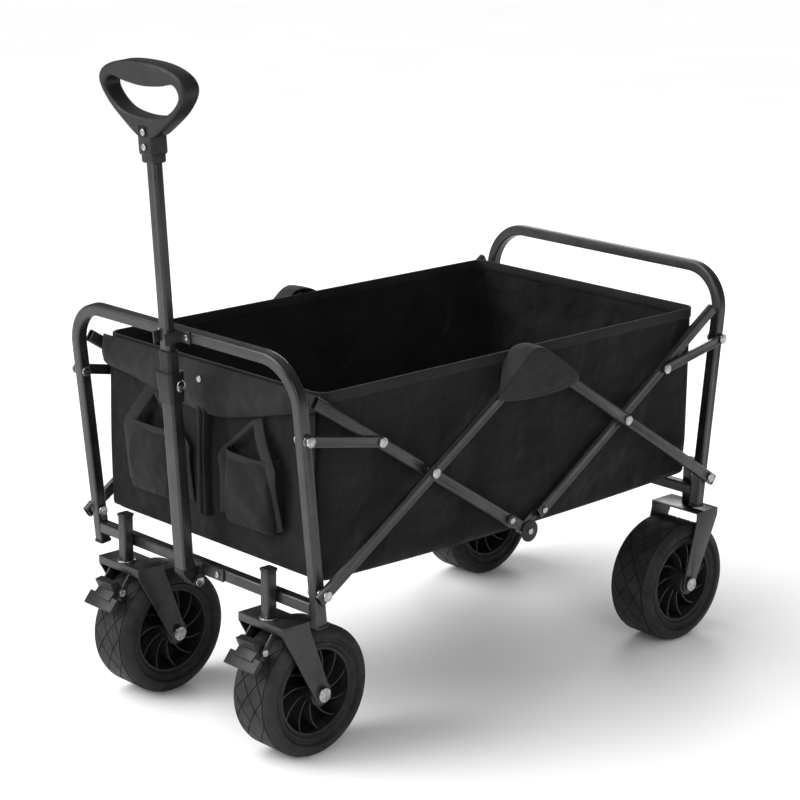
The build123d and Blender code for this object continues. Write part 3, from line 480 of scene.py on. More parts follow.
# %% Ease and finish the metal and the moulded pieces
HARD = {
    "black_steel": (STEEL, 0.0006),
    "bright_fasteners": (ZINC, 0.0005),
    "black_plastic": (PLASTIC, 0.0007),
    "hub_plastic": (HUB_PLASTIC, 0.0006),
}
OWN_FINISH = {
    "handle_lower_tube": STEEL_SATIN,
    "handle_upper_tube": STEEL_SATIN,
    "caster_fork_right": STAMPED,
    "caster_fork_left": STAMPED,
    "rear_forks": STAMPED,
}
REBUILT = ("handle_grip",)
PEDAL_EASE = 0.0018
count = 0
for entry in record["subparts"]:
    node, slot = entry["node"], entry["material_slot"]
    if slot not in HARD or node in REBUILT:
        continue
    material, width = HARD[slot]
    if node.startswith("brake_pedal"):
        width = PEDAL_EASE
    eased(node, width, OWN_FINISH.get(node, material))
    count += 1
print("eased", count, "hard nodes")

# %% [markdown]
# ## Tyres
# A tyre is turned: one outline of the section, spun about the axle.  The tread is a strip of
# diamonds, cut from a slanted grid, inset to leave the grooves, raised, and wrapped round the
# carcass, so the crossing grooves are real.

# %% Tyre carcass and tread
TREAD_HALF = 0.027
GROOVE = 0.0021
GROOVE_DEEP = 0.0013
DIAMONDS = 15
TREAD_ROWS = 2
BEND_STEP = 0.006          # length of a flat facet round the tread
TREAD_ROOT = 0.0004        # a block starts this far inside the carcass


def tyre_section(half, radius, rim):
    """Half of the section from tread to bead, as (across, out from the axle)."""
    return [
        (0.0, radius - GROOVE_DEEP),
        (TREAD_HALF, radius - GROOVE_DEEP),
        (TREAD_HALF + 0.003, radius - 0.0010),
        (half - 0.006, radius - 0.0030),
        (half - 0.0025, radius - 0.0065),
        (half - 0.0005, radius - 0.0115),
        (half, radius - 0.016),
        (half - 0.0008, rim + 0.0135),
        (half - 0.0022, rim + 0.0120),
        (half - 0.0042, rim + 0.0112),
        (half - 0.0046, rim + 0.0085),
        (half - 0.0032, rim + 0.0070),
        (half - 0.0040, rim + 0.0035),
        (half - 0.0060, rim + 0.0020),
        (half - 0.0072, rim + 0.0002),
    ]


def turned(shape, outline, centre, steps=120):
    """Spins an (across, out) outline about the X axis through centre."""
    ring = [shape.verts.new(centre + Vector((x, 0, out))) for x, out in outline]
    edges = [shape.edges.new(pair) for pair in zip(ring, ring[1:])]
    bmesh.ops.spin(
        shape, geom=ring + edges, cent=centre, axis=(1, 0, 0), dvec=(0, 0, 0),
        angle=2 * pi, steps=steps, use_merge=True, use_duplicate=False,
    )


def diamond_tread(radius):
    """Raised diamonds laid out flat, then wrapped to the radius about the origin."""
    length = 2 * pi * radius
    pitch = length / DIAMONDS
    across = 2 * TREAD_HALF / TREAD_ROWS
    cells = DIAMONDS + 4
    rows = ((pitch / 2, pitch / 2, 0, 0), (across / 2, -across / 2, 0, 0), (0, 0, 1, 0), (0, 0, 0, 1))
    slant = Matrix(rows)
    shape = bmesh.new()
    bmesh.ops.create_grid(shape, x_segments=cells, y_segments=cells, size=cells / 2, matrix=slant)
    inset = bmesh.ops.inset_individual(shape, faces=shape.faces, thickness=GROOVE / 2, depth=0)
    bmesh.ops.delete(shape, geom=inset["faces"], context="FACES")
    for place, normal in (
        ((length / 2, 0, 0), (1, 0, 0)), ((-length / 2, 0, 0), (-1, 0, 0)),
        ((0, TREAD_HALF, 0), (0, 1, 0)), ((0, -TREAD_HALF, 0), (0, -1, 0)),
    ):
        bmesh.ops.bisect_plane(shape, geom=whole(shape), plane_co=place, plane_no=normal, clear_outer=True)
    cuts = int(length / BEND_STEP)
    for step in range(1, cuts):
        place = (length * (step / cuts - 0.5), 0, 0)
        bmesh.ops.bisect_plane(shape, geom=whole(shape), plane_co=place, plane_no=(1, 0, 0))
    blocks = bmesh.ops.extrude_face_region(shape, geom=shape.faces[:], use_keep_orig=True)
    bmesh.ops.translate(shape, verts=new_verts(blocks), vec=(0, 0, GROOVE_DEEP + TREAD_ROOT))
    for vert in shape.verts:
        along, side, lift = vert.co
        out = radius - GROOVE_DEEP - TREAD_ROOT + lift
        vert.co = (side, out * sin(along / radius), out * cos(along / radius))
    outward(shape)
    pattern = bpy.data.meshes.new("tread_pattern")
    shape.to_mesh(pattern)
    shape.free()
    return pattern


def tyre(node, body, pattern):
    """Carcass and tread in one piece, standing for a tyre node."""
    low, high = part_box(node)
    centre = (low + high) / 2
    half = (high.x - low.x) / 2
    radius = (high.z - low.z) / 2
    hub_low, hub_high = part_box(node.replace("tyre", "hub"))
    rim = (hub_high.z - hub_low.z) / 2
    shape = bmesh.new()
    right = tyre_section(half, radius, rim)
    outline = right[::-1] + [(-x, out) for x, out in right[1:]]
    turned(shape, outline + outline[:1], centre)
    bmesh.ops.remove_doubles(shape, verts=shape.verts, dist=0.00001)
    outward(shape)
    blocks = bmesh.new()
    blocks.from_mesh(pattern)
    bmesh.ops.translate(blocks, verts=blocks.verts, vec=centre)
    wrapped = bpy.data.meshes.new("wrapped_tread")
    blocks.to_mesh(wrapped)
    blocks.free()
    shape.from_mesh(wrapped)
    bpy.data.meshes.remove(wrapped)
    piece = piece_from(node + "_moulded", shape, TYRE, body, radians(30))
    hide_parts(node)
    return piece


tyre_low, tyre_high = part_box("front_tyre_right")
tread = diamond_tread((tyre_high.z - tyre_low.z) / 2)
for end in ("front", "rear"):
    for side in ("right", "left"):
        made = tyre(f"{end}_tyre_{side}", f"{end}_wheel_{side}", tread)
        print(made.name, "faces", len(made.data.polygons))
bpy.data.meshes.remove(tread)

# %% [markdown]
# ## Hand grip
# The grip is a moulded loop with a swollen top bar.  Two closed outlines, the outside and the
# finger hole, are bridged into a flat ring, the ring is given its depth, and its edges get a
# wide round bevel.  The neck and its stepped foot are blocks with eased edges.

# %% Grip
GRIP_LEAN = atan2(-joints["handle_telescope"]["axis"][1], joints["handle_telescope"]["axis"][2])
GRIP_DEPTH = 0.027
GRIP_HEIGHT = 0.129
GRIP_ROUND = 0.0062
GRIP_BLOCKS = [              # size, centre below the top, rounding
    ((0.028, GRIP_DEPTH, 0.042), 0.0975, 0.0035),
    ((0.0255, 0.0215, 0.016), 0.121, 0.003),
]
OUTSIDE = [
    (0.012, -0.096), (0.042, -0.078), (0.070, -0.056), (0.086, -0.032), (0.077, -0.014), (0.045, -0.003),
]
FINGERS = [
    (0.014, -0.069), (0.042, -0.064), (0.063, -0.051), (0.073, -0.036), (0.062, -0.0235), (0.034, -0.028),
]
FINGER_TOP = -0.0305


def mirrored(half, crown):
    """The whole outline from its right half, with one point at the crown."""
    return half + [(0.0, crown)] + [(-x, z) for x, z in reversed(half)]


def closed_ring(shape, outline, y, top):
    verts = [shape.verts.new((x, y, top + z)) for x, z in outline]
    return [shape.edges.new((a, b)) for a, b in zip(verts, verts[1:] + verts[:1])]


def block(shape, size, centre, width):
    """A box with every edge eased."""
    placed = Matrix.Translation(centre) @ Matrix.Diagonal((*size, 1))
    made = bmesh.ops.create_cube(shape, size=1, matrix=placed)
    edges = {edge for vert in made["verts"] for edge in vert.link_edges}
    ease(shape, list(edges), width, 3)


def grip():
    """The loop, its neck and its foot, leaning with the handle."""
    low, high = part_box("handle_grip")
    top = GRIP_HEIGHT / 2
    shape = bmesh.new()
    outside = smooth_points(mirrored(OUTSIDE, 0.0), 5, closed=True)
    fingers = smooth_points(mirrored(FINGERS, FINGER_TOP), 5, closed=True)
    outer = closed_ring(shape, outside, -GRIP_DEPTH / 2, top)
    inner = closed_ring(shape, fingers, -GRIP_DEPTH / 2, top)
    bmesh.ops.bridge_loops(shape, edges=outer + inner)
    deep = bmesh.ops.extrude_face_region(shape, geom=shape.faces[:], use_keep_orig=True)
    bmesh.ops.translate(shape, verts=new_verts(deep), vec=(0, GRIP_DEPTH, 0))
    outward(shape)
    ease(shape, sharp_edges(shape), GRIP_ROUND, 5, clamp=True)
    for size, below, width in GRIP_BLOCKS:
        block(shape, size, (0, 0, top - below), width)
    place = Matrix.Translation((low + high) / 2) @ Matrix.Rotation(GRIP_LEAN, 4, "X")
    bmesh.ops.transform(shape, matrix=place, verts=shape.verts)
    piece = piece_from("grip_loop", shape, GRIP_PLASTIC, "handle_upper", radians(50))
    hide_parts("handle_grip")
    return piece


print("grip faces", len(grip().data.polygons))

# %% [markdown]
# ## Bag
# The bag is one box of cloth without a lid: an eased box, cut into an even net of small faces,
# then let go under its own weight while the rim and the bottom seam are held.  A little spare
# cloth gives it the shallow folds of a real bag.  Thickness comes last.

# %% Bag shell
HOLD = [Vector(corner) for corner in openings["cargo_hold"]]
BAG = [Vector(corner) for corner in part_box("cargo_bag")]
BAG_HALF = 0.2188
BAG_MIDDLE = (BAG[0].y + BAG[1].y) / 2
BAG_LONG = (BAG[1].y - BAG[0].y) / 2 - 0.0012
BAG_LOW = BAG[0].z
BAG_RIM = HOLD[1].z
BAG_CORNER = 0.0172
BAG_SEAM = 0.007
BAG_SAG = 0.007
NET = 0.0155
HELD_RIM = 0.013            # cloth this near the rim is held while the rest hangs
HELD_SEAM = 0.012
HELD_WALL = 0.008
CLOTH_THICK = 0.0012
SIM_FRAMES = 16
SPARE_CLOTH = 0.007
MOST_MOVE = 0.0075


def net(shape, low, high, step):
    """Cuts a shape by evenly spaced planes along all three axes."""
    for axis in range(3):
        cuts = max(2, round((high[axis] - low[axis]) / step))
        for i in range(1, cuts):
            place = Vector((0, 0, 0))
            place[axis] = low[axis] + (high[axis] - low[axis]) * i / cuts
            normal = Vector((0, 0, 0))
            normal[axis] = 1
            bmesh.ops.bisect_plane(shape, geom=whole(shape), dist=1e-6, plane_co=place, plane_no=normal)


def open_box(low, high, corner, bottom):
    """A box without a lid, its upright edges and its bottom seam rounded."""
    shape = bmesh.new()
    size = high - low
    placed = Matrix.Translation((low + high) / 2) @ Matrix.Diagonal((*size, 1))
    bmesh.ops.create_cube(shape, size=1, matrix=placed)
    lid = [f for f in shape.faces if f.normal.z > 0.9]
    bmesh.ops.delete(shape, geom=lid, context="FACES_ONLY")
    upright = [e for e in shape.edges if abs(e.verts[0].co.z - e.verts[1].co.z) > size.z / 2]
    ease(shape, upright, corner, 4)
    seam = [e for e in shape.edges if max(v.co.z for v in e.verts) < low.z + 1e-5]
    ease(shape, seam, bottom, 2)
    return shape


def let_hang(piece, held, frames, spare, reach):
    """Cloth that hangs from its held points, with no point moving further than reach."""
    rest = [vert.co.copy() for vert in piece.data.vertices]
    group = piece.vertex_groups.new(name="held")
    group.add(held, 1.0, "REPLACE")
    cloth = piece.modifiers.new("hang", "CLOTH")
    cloth.settings.vertex_group_mass = "held"
    cloth.settings.quality = 5
    cloth.settings.mass = 0.25
    cloth.settings.tension_stiffness = 20
    cloth.settings.compression_stiffness = 20
    cloth.settings.shear_stiffness = 8
    cloth.settings.bending_stiffness = 1.2
    cloth.settings.shrink_min = -spare
    cloth.settings.air_damping = 2
    cloth.collision_settings.use_self_collision = False
    cloth.collision_settings.use_collision = False
    scene = bpy.context.scene
    for number in range(1, frames + 1):
        scene.frame_set(number)
    hung = bpy.data.meshes.new_from_object(piece.evaluated_get(bpy.context.evaluated_depsgraph_get()))
    for vert, start in zip(hung.vertices, rest):
        shift = vert.co - start
        if shift.length > reach:
            vert.co = start + shift * (reach / shift.length)
    piece.modifiers.clear()
    piece.data = hung
    scene.frame_set(1)


def thicken(piece, thickness, offset=0):
    """Cloth thickness and one smoothing, as live modifiers."""
    wall = piece.modifiers.new("thickness", "SOLIDIFY")
    wall.thickness = thickness
    wall.offset = offset
    smooth = piece.modifiers.new("smooth", "SUBSURF")
    smooth.levels = 1
    smooth.render_levels = 1


def sag_bottom(vert, low, high, drop):
    """Lets the bottom seam hang in a shallow curve between the corners."""
    along = (vert.co.y - low.y) / (high.y - low.y)
    height = 1 - (vert.co.z - low.z) / (high.z - low.z)
    vert.co.z -= drop * 4 * along * (1 - along) * max(height, 0) ** 2


def bag():
    """The shell of cloth, its floor woven the other way from its walls."""
    low = Vector((-BAG_HALF, BAG_MIDDLE - BAG_LONG, BAG_LOW + 0.001))
    high = Vector((BAG_HALF, BAG_MIDDLE + BAG_LONG, BAG_RIM - 0.002))
    shape = open_box(low, high, BAG_CORNER, BAG_SEAM)
    net(shape, low, high, NET)
    outward(shape)
    for vert in shape.verts:
        sag_bottom(vert, low, high, BAG_SAG)
    piece = piece_from("bag_shell", shape, CLOTH, None, radians(70))
    piece.data.materials.append(FLOOR_CLOTH)
    for face in piece.data.polygons:
        face.material_index = 1 if abs(face.normal.z) > 0.7 else 0
    held = []
    for vert in piece.data.vertices:
        x, y, z = vert.co
        wall = min(BAG_HALF - abs(x), y - low.y, high.y - y)
        if z > high.z - HELD_RIM or (z < low.z + HELD_SEAM and wall < HELD_WALL):
            held.append(vert.index)
    let_hang(piece, held, SIM_FRAMES, SPARE_CLOTH, MOST_MOVE)
    shade(piece.data, radians(70))
    thicken(piece, CLOTH_THICK)
    return piece


FOLD_KEEP = 0.35
FOLD_ANCHOR = (0, BAG_MIDDLE - BAG_LONG - 0.017, 0)
HOOD_KEEP = 0.55
HOOD_ANCHOR = (0, -0.5163, 0)


def folds_with_cart(piece, *nodes, keep=FOLD_KEEP, anchor=FOLD_ANCHOR):
    """Rides up with the bag, on a mesh of its own, and hides the nodes it stands for."""
    if piece.parent is None:
        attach(piece, "bag")
    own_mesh(piece)
    if nodes:
        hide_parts(*nodes)


bag_shell = bag()
folds_with_cart(bag_shell, "cargo_bag")
print("bag verts", len(bag_shell.data.vertices))

# %% [markdown]
# ## Binding, piping and stitches
# The rim is bound with folded webbing and the bottom seam is piped.  Both are rings cut from an
# eased rectangle.  Stitches are short beads of thread along the binding.

# %% Rings and stitches
def ring(name, half_x, half_y, centre_y, low, high, corner, thick, material, width):
    """A flat band standing on edge round a rounded rectangle."""
    shape = bmesh.new()
    placed = Matrix.Translation((0, centre_y, low)) @ Matrix.Diagonal((2 * half_x, 2 * half_y, 1, 1))
    bmesh.ops.create_grid(shape, x_segments=1, y_segments=1, size=0.5, matrix=placed)
    ease(shape, shape.verts[:], corner, 6, affect="VERTICES")
    border = [e for e in shape.edges if e.is_boundary]
    wall = bmesh.ops.extrude_edge_only(shape, edges=border)
    bmesh.ops.translate(shape, verts=new_verts(wall), vec=(0, 0, high - low))
    bmesh.ops.delete(shape, geom=[f for f in shape.faces if abs(f.normal.z) > 0.9], context="FACES_ONLY")
    outward(shape)
    bmesh.ops.solidify(shape, geom=shape.faces[:], thickness=thick)
    outward(shape)
    ease(shape, sharp_edges(shape), width, 2)
    return piece_from(name, shape, material, "bag", radians(50))


STITCH = (0.0052, 0.0036, 0.0009)        # pitch, length and width of one stitch
FINE_STITCH = (0.0046, 0.0032, 0.0008)


def stitches(name, rows, gauge=STITCH):
    """Rows of short thread beads; a row is a list of points."""
    pitch, length, width = gauge
    shape = bmesh.new()
    for row in rows:
        points = [Vector(point) for point in row]
        for start, end in zip(points, points[1:]):
            run = end - start
            count = max(1, int(run.length / pitch))
            turn = run.to_track_quat("X", "Z").to_matrix().to_4x4()
            for i in range(count):
                place = Matrix.Translation(start + run * ((i + 0.5) / count))
                size = Matrix.Diagonal((length, width, width, 1))
                bmesh.ops.create_icosphere(shape, subdivisions=1, radius=0.5, matrix=place @ turn @ size)
    return piece_from(name, shape, THREAD, "bag", radians(60))


def rim_row(height, out):
    """A stitch row round the outside of the rim, corners left out."""
    x, y0, y1 = BAG_HALF + out, BAG_MIDDLE - BAG_LONG - out, BAG_MIDDLE + BAG_LONG + out
    cut = 0.019
    return [
        [(x, y0 + cut, height), (x, y1 - cut, height)],
        [(-x, y0 + cut, height), (-x, y1 - cut, height)],
        [(cut - BAG_HALF, y1, height), (BAG_HALF - cut, y1, height)],
        [(cut - BAG_HALF, y0, height), (BAG_HALF - cut, y0, height)],
    ]


RIM_TAPE = 0.013
rim_tape = ring(
    "rim_binding", BAG_HALF + 0.0018, BAG_LONG + 0.0018, BAG_MIDDLE,
    BAG_RIM - RIM_TAPE, BAG_RIM + 0.0012, 0.019, 0.0036, WEBBING, 0.0009,
)
piping = ring(
    "bottom_piping", BAG_HALF - 0.0005, BAG_LONG - 0.0005, BAG_MIDDLE,
    BAG_LOW + 0.0045, BAG_LOW + 0.0095, 0.018, 0.0022, WEBBING, 0.0009,
)
rim_thread = stitches("rim_stitches", rim_row(BAG_RIM - RIM_TAPE + 0.0025, 0.0020))
for soft in (rim_tape, piping, rim_thread):
    folds_with_cart(soft)
print("rim, piping and", len(rim_thread.data.polygons), "stitch faces")

# %% [markdown]
# ## Side hoods
# The folding sides lift the bag through fabric hoods sewn to the rim: each one covers an upper
# hinge pin like a small roof.

# %% Hoods
HOOD_EDGE = [
    (-0.0655, 0.4570), (-0.0300, 0.4860), (0.0100, 0.5125), (0.0560, 0.4900),
    (0.0930, 0.4600), (0.0780, 0.4470), (0.0140, 0.4435), (-0.0450, 0.4480),
]
HOOD_MIDDLE = Vector((0.0140, 0.4780))
HOOD_THICK = 0.0016
HOOD_RINGS = [(1.0, 0.0), (0.93, 0.0), (0.62, 0.0004), (0.3, 0.0010)]   # share of the edge, inward
ROOF_FROM = 0.4605          # above this height the outline is drawn in to the rim
ROOF_SPAN = 0.030
DOME = 0.0085
DOME_AT = 0.0115
DOME_HALF = 0.05


def skin(shape, columns):
    """Faces between neighbouring columns of points."""
    for first, second in zip(columns, columns[1:]):
        for j in range(len(first) - 1):
            shape.faces.new((first[j], second[j], second[j + 1], first[j + 1]))


def hood(side):
    """A quilted cap of cloth over a hinge pin, its top drawn in to the bag's rim."""
    sign = 1 if side == "right" else -1
    face = BAG[1].x - 0.0012
    shape = bmesh.new()
    border = smooth_points(HOOD_EDGE, 5, closed=True)
    rings = []
    for share, inward in HOOD_RINGS:
        ring_verts = []
        for point in border:
            spot = HOOD_MIDDLE + (point - HOOD_MIDDLE) * share
            crease = 0.0007 * sin(spot.x * 160 + spot.y * 90) * (1 - share)
            ring_verts.append(shape.verts.new((sign * (face - inward + crease), spot.x, spot.y)))
        rings.append(ring_verts)
    centre = shape.verts.new((sign * (face - 0.0014), HOOD_MIDDLE.x, HOOD_MIDDLE.y))
    for outer, inner in zip(rings, rings[1:]):
        for i in range(len(outer)):
            j = (i + 1) % len(outer)
            shape.faces.new((outer[i], outer[j], inner[j], inner[i]))
    for i in range(len(rings[-1])):
        shape.faces.new((rings[-1][i], rings[-1][(i + 1) % len(border)], centre))
    top = [i for i, point in enumerate(border) if point.y > ROOF_FROM]
    rim_x = BAG_HALF + 0.0012
    roof = []
    for i in top:
        point = border[i]
        reach = min(max((point.y - ROOF_FROM) / ROOF_SPAN, 0), 1)
        far = face - (face - rim_x) * reach
        dome = DOME * max(0, 1 - abs(point.x - DOME_AT) / DOME_HALF)
        end_z = min(point.y, BAG_RIM + 0.0005) + dome * reach
        middle_x = (face + far) / 2
        middle_z = (point.y + end_z) / 2 + 0.0012 * reach
        roof.append((
            rings[0][i],
            shape.verts.new((sign * middle_x, point.x, middle_z)),
            shape.verts.new((sign * far, point.x, end_z)),
        ))
    skin(shape, roof)
    bmesh.ops.remove_doubles(shape, verts=shape.verts, dist=0.0002)
    outward(shape)
    # Painted light: the hood's face takes the lighter copy of the black polyester for the light that falls
    # on it.
    piece = piece_from(f"side_hood_{side}", shape, PAINTED_LIGHT_CLOTH, None, radians(60))
    thicken(piece, HOOD_THICK, offset=-1)
    folds_with_cart(piece, keep=HOOD_KEEP, anchor=HOOD_ANCHOR)
    rows = []
    for share in (0.90, 0.62):
        line = [HOOD_MIDDLE + (point - HOOD_MIDDLE) * share for point in border[::2]]
        rows.append([(sign * (face + 0.0004), spot.x, spot.y) for spot in line + line[:1]])
    thread = stitches(f"hood_stitches_{side}", rows, FINE_STITCH)
    folds_with_cart(thread, keep=HOOD_KEEP, anchor=HOOD_ANCHOR)
    return piece


for side in ("right", "left"):
    print(hood(side).name)

# %% [markdown]
# ## Front panel
# The handle end carries a panel with a deep flap hanging from the rim, two cup pouches held by
# straps that meet in a point, and a folded strip of cloth between the pouches.

# %% Front panel, pouches, flap
PANEL_Y = BAG[0].y - 0.0016
POUCH_SIDES = (0.052, 0.150)
POUCH_BOTTOM = 0.304
POUCH_TOP = 0.4065
POUCH_OUT = 0.0235
POUCH_DIP = 0.006           # the pouch's open edge dips by this much in its middle
POUCH_THICK = 0.0014
PANEL_HALF = 0.212
FLAP_HALF = 0.2225
FLAP_EDGE = [
    (-FLAP_HALF, 0.467), (-0.205, 0.4620), (-0.15, 0.4560), (-0.08, 0.4460), (-0.03, 0.4390),
    (0.03, 0.4390), (0.08, 0.4480), (0.15, 0.4660), (0.205, 0.4795), (FLAP_HALF, 0.487),
]
STRAPS = [                  # place, x at the foot and the end, how far out at foot, knee and end
    ("inner", 0.041, 0.036, 0.006, 0.004, 0.0),
    ("outer", 0.147, 0.151, 0.0165, 0.0150, 0.006),
]
STRIP_X = -0.003
STRIP_LOW, STRIP_HIGH = 0.296, 0.462
STRIP_THICK = 0.0013
STRIP_FOLDS = [             # across the strip, out from the panel
    (-0.011, 0.0), (-0.0105, 0.0075), (-0.004, 0.0095), (0.001, 0.0050),
    (0.006, 0.0100), (0.0105, 0.0075), (0.011, 0.0),
]


def front_panel():
    """A second layer of cloth on the handle end, hemmed at the bottom."""
    shape = bmesh.new()
    low = Vector((-PANEL_HALF, 0, BAG_LOW + 0.006))
    high = Vector((PANEL_HALF, 0, BAG_RIM - 0.010))
    columns, rows = 60, 22
    grid = []
    for i in range(columns + 1):
        line = []
        for j in range(rows + 1):
            x = low.x + (high.x - low.x) * i / columns
            z = low.z + (high.z - low.z) * j / rows
            loose = sin(pi * j / rows)
            hang = 0.0016 * loose * (0.55 + 0.45 * sin(31 * x + 9 * z))
            fold = 0.0018 * loose * sin(abs(x) * 85 + 16 * z) * (0.3 + 0.7 * sin(17 * x) ** 2)
            line.append(shape.verts.new((x, PANEL_Y - hang + fold - 0.0004, z)))
        grid.append(line)
    skin(shape, grid)
    outward(shape)
    piece = piece_from("front_panel", shape, CLOTH, None, radians(60))
    thicken(piece, CLOTH_THICK)
    return piece


def pouch(sign):
    """A cup pouch: three walls and a floor bowed out from the panel, its top left open."""
    shape = bmesh.new()
    inner, outer = POUCH_SIDES
    plan = [
        (inner, 0.0), (inner + 0.001, 0.45), (inner + 0.006, 0.82), (inner + 0.016, 0.97),
        ((inner + outer) / 2, 1.0),
        (outer - 0.016, 0.97), (outer - 0.006, 0.82), (outer - 0.001, 0.45), (outer, 0.0),
    ]
    path = smooth_points([(x, y, 0) for x, y in plan], 3)
    rows = 14
    grid = []
    for j in range(rows + 1):
        up = j / rows
        z = POUCH_BOTTOM + (POUCH_TOP - POUCH_BOTTOM) * up
        belly = 0.80 + 0.20 * sin(pi * min(up * 1.15, 1))
        line = []
        for k, point in enumerate(path):
            around = k / (len(path) - 1)
            crease = 0.0019 * sin(around * 21 + up * 9) * sin(pi * up) * sin(pi * around)
            dip = POUCH_DIP * sin(pi * around) * up ** 4
            out = POUCH_OUT * point.y * belly * (0.94 if j == 0 else 1)
            line.append(shape.verts.new((sign * point.x, PANEL_Y - 0.0022 - out - crease, z - dip)))
        grid.append(line)
    skin(shape, list(zip(*grid)))
    back = [shape.verts.new((vert.co.x, PANEL_Y - 0.0020, vert.co.z)) for vert in grid[0]]
    skin(shape, list(zip(back, grid[0])))
    bmesh.ops.remove_doubles(shape, verts=shape.verts, dist=0.0003)
    outward(shape)
    side = "right" if sign > 0 else "left"
    piece = piece_from(f"cup_pouch_{side}", shape, CLOTH, None, radians(60))
    thicken(piece, POUCH_THICK)
    hem = tape(f"pouch_hem_{side}", top_line(path, sign), 0.009, 0.0012, (0, 0, 1))
    return [piece, hem]


def top_line(path, sign):
    """The pouch's upper edge, for its hem."""
    found = []
    for k, point in enumerate(path):
        dip = POUCH_DIP * sin(pi * k / (len(path) - 1))
        out = 0.0030 + POUCH_OUT * point.y * 0.80
        found.append(Vector((sign * point.x, PANEL_Y - out, POUCH_TOP - 0.0035 - dip)))
    return found


def tape(name, points, width, thick, across):
    """A flat strap along a path; across is the direction of its width."""
    shape = bmesh.new()
    path = [Vector(point) for point in points]
    half = Vector(across).normalized() * (width / 2)
    low = [shape.verts.new(point - half) for point in path]
    high = [shape.verts.new(point + half) for point in path]
    skin(shape, list(zip(low, high)))
    outward(shape)
    bmesh.ops.solidify(shape, geom=shape.faces[:], thickness=thick)
    outward(shape)
    ease(shape, sharp_edges(shape), thick * 0.32, 1)
    return piece_from(name, shape, WEBBING, None, radians(50))


def flap():
    """The deep flap over the panel, bulging out and gathered a little at its lower edge."""
    shape = bmesh.new()
    edge = smooth_points([(x, 0, z) for x, z in FLAP_EDGE], 5)
    rows = 9
    top = BAG_RIM - 0.001
    grid = []
    for point in edge:
        line = []
        for j in range(rows + 1):
            down = j / rows
            z = top + (point.z - top) * down
            wide = min(1, (FLAP_HALF - abs(point.x)) / 0.02)
            bulge = 0.0115 * sin(pi * min(down * 0.90, 1)) * (0.1 + 0.9 * sqrt(max(wide, 0)))
            crease = 0.0014 * sin(point.x * 52 + 0.7) * down * wide
            line.append(shape.verts.new((point.x, PANEL_Y - 0.0032 - bulge - crease, z)))
        grid.append(line)
    skin(shape, grid)
    outward(shape)
    hem_line = [column[-1].co.copy() for column in grid]
    # Painted light: the flap takes the lighter copy of the black polyester for the light that falls on it.
    piece = piece_from("front_flap", shape, PAINTED_LIGHT_CLOTH, None, radians(60))
    thicken(piece, HOOD_THICK)
    spots = [spot + Vector((0, -0.0011, 0.0040)) for spot in hem_line]
    hem = tape("flap_hem", spots, 0.0095, 0.0012, (0, 0, 1))
    row = [spot + Vector((0, -0.0010, 0)) for spot in spots[::3]]
    thread = stitches("flap_stitches", [row], FINE_STITCH)
    return [piece, hem, thread]


def strap_pair(sign):
    """Two straps from the pouch's top corners up to one point under the flap."""
    out = PANEL_Y - 0.0045
    apex = Vector((sign * 0.108, out - 0.004, 0.452))
    pieces = []
    side = "right" if sign > 0 else "left"
    for place, foot_x, end_x, foot_out, knee_out, end_out in STRAPS:
        foot = Vector((sign * foot_x, out - foot_out, 0.392))
        knee = Vector((sign * foot_x, out - knee_out, 0.366))
        end = Vector((sign * end_x, out - end_out, 0.309))
        points = smooth_points([apex, apex.lerp(foot, 0.5) + Vector((0, -0.003, 0)), foot, knee, end], 5)
        pieces.append(tape(f"pouch_strap_{place}_{side}", points, 0.0200, 0.0014, (1, 0, 0.35 * sign)))
    return pieces


def fold_strip():
    """A folded strip of cloth hanging straight from under the flap."""
    shape = bmesh.new()
    path = smooth_points([(across, out, 0) for across, out in STRIP_FOLDS], 3)
    rows = 12
    grid = []
    for j in range(rows + 1):
        up = j / rows
        z = STRIP_LOW + (STRIP_HIGH - STRIP_LOW) * up
        squeeze = 1 - 0.25 * sin(pi * up) + 0.06 * sin(9 * up)
        deepen = 1.2 - 0.3 * squeeze
        grid.append([
            shape.verts.new((STRIP_X + point.x * squeeze, PANEL_Y - 0.0024 - point.y * deepen, z))
            for point in path
        ])
    skin(shape, list(zip(*grid)))
    outward(shape)
    piece = piece_from("fold_strip", shape, CLOTH, None, radians(60))
    thicken(piece, STRIP_THICK)
    return piece


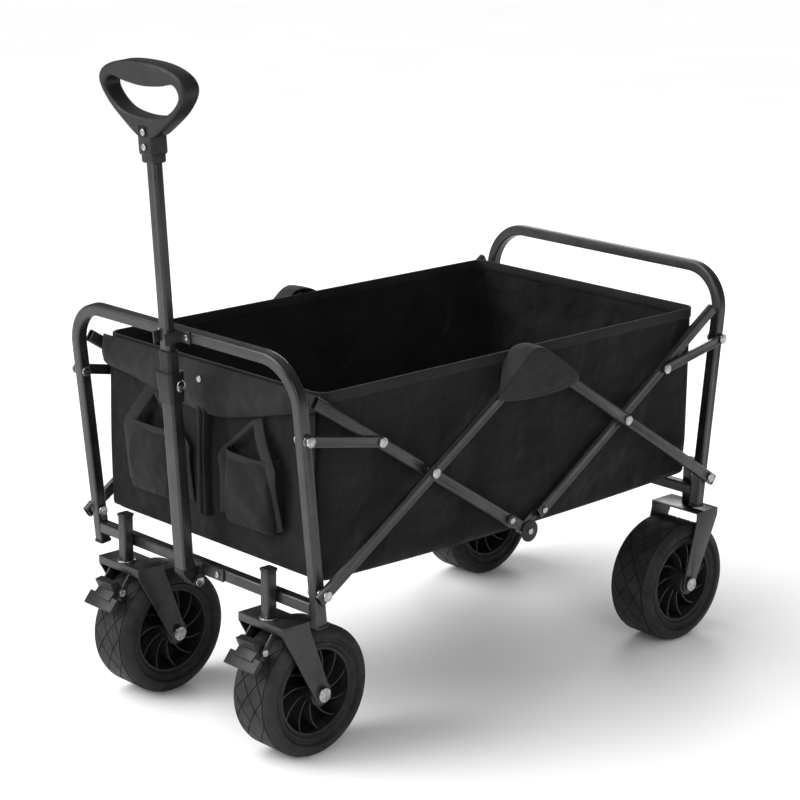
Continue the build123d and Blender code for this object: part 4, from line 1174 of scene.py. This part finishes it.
front_pieces = [front_panel()]
for sign in (1, -1):
    front_pieces += pouch(sign)
    front_pieces += strap_pair(sign)
front_pieces.append(fold_strip())
front_pieces += flap()
front_rows = [
    [(-0.205, PANEL_Y - 0.0022, BAG_LOW + rise), (0.205, PANEL_Y - 0.0022, BAG_LOW + rise)]
    for rise in (0.0105, 0.0165)
]
front_pieces.append(stitches("panel_stitches", front_rows))
for soft in front_pieces:
    folds_with_cart(soft)
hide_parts("front_organiser")
print("front panel pieces", len(front_pieces))

# %% [markdown]
# ## Small hardware
# A grey snap behind the handle's collar, a black pull tab past the far panel and a plastic cover
# over each lower hinge pin.

# %% Snap and tab
def disc(name, spot, axis, radius, thick, width, material, body):
    """A flat turned button, its axis along X or Y."""
    shape = bmesh.new()
    turn = Matrix.Translation(spot) @ Matrix.Rotation(pi / 2, 4, "X" if axis == "Y" else "Y")
    bmesh.ops.create_cone(
        shape, cap_ends=True, segments=32, radius1=radius, radius2=radius, depth=thick, matrix=turn
    )
    ease(shape, sharp_edges(shape), width, 2)
    return piece_from(name, shape, material, body)


SNAP = (-0.0020, PANEL_Y - 0.0140, 0.4835)
snap = disc("flap_snap", SNAP, "Y", 0.0046, 0.0022, 0.0008, ZINC, "bag")
folds_with_cart(snap)
FAR_Y = BAG[1].y + 0.0006
TAB_LINE = [(-0.196, FAR_Y, 0.492), (-0.1975, FAR_Y + 0.008, 0.480), (-0.199, FAR_Y + 0.0075, 0.448)]
tab_points = smooth_points(TAB_LINE, 5)
tab = tape("rear_pull_tab", tab_points, 0.024, 0.0018, (1, 0, 0))
folds_with_cart(tab)
print("snap and tab made")

# %% Knuckle covers
LOW_HINGE = (BAG_MIDDLE, BAG_LOW - 0.004)
PLATE_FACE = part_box("front_lower_hinge_plates")[1].x
PLATE_BODY = "front_inner_bars"
for side, sign in (("right", 1), ("left", -1)):
    cover = (sign * (PLATE_FACE + 0.0014), *LOW_HINGE)
    pin = (sign * (PLATE_FACE + 0.0038), *LOW_HINGE)
    disc(f"knuckle_cover_{side}", cover, "X", 0.0155, 0.0028, 0.0007, PLASTIC, PLATE_BODY)
    disc(f"knuckle_pin_{side}", pin, "X", 0.0044, 0.0022, 0.0006, ZINC, PLATE_BODY)
print("two knuckle covers at", LOW_HINGE)
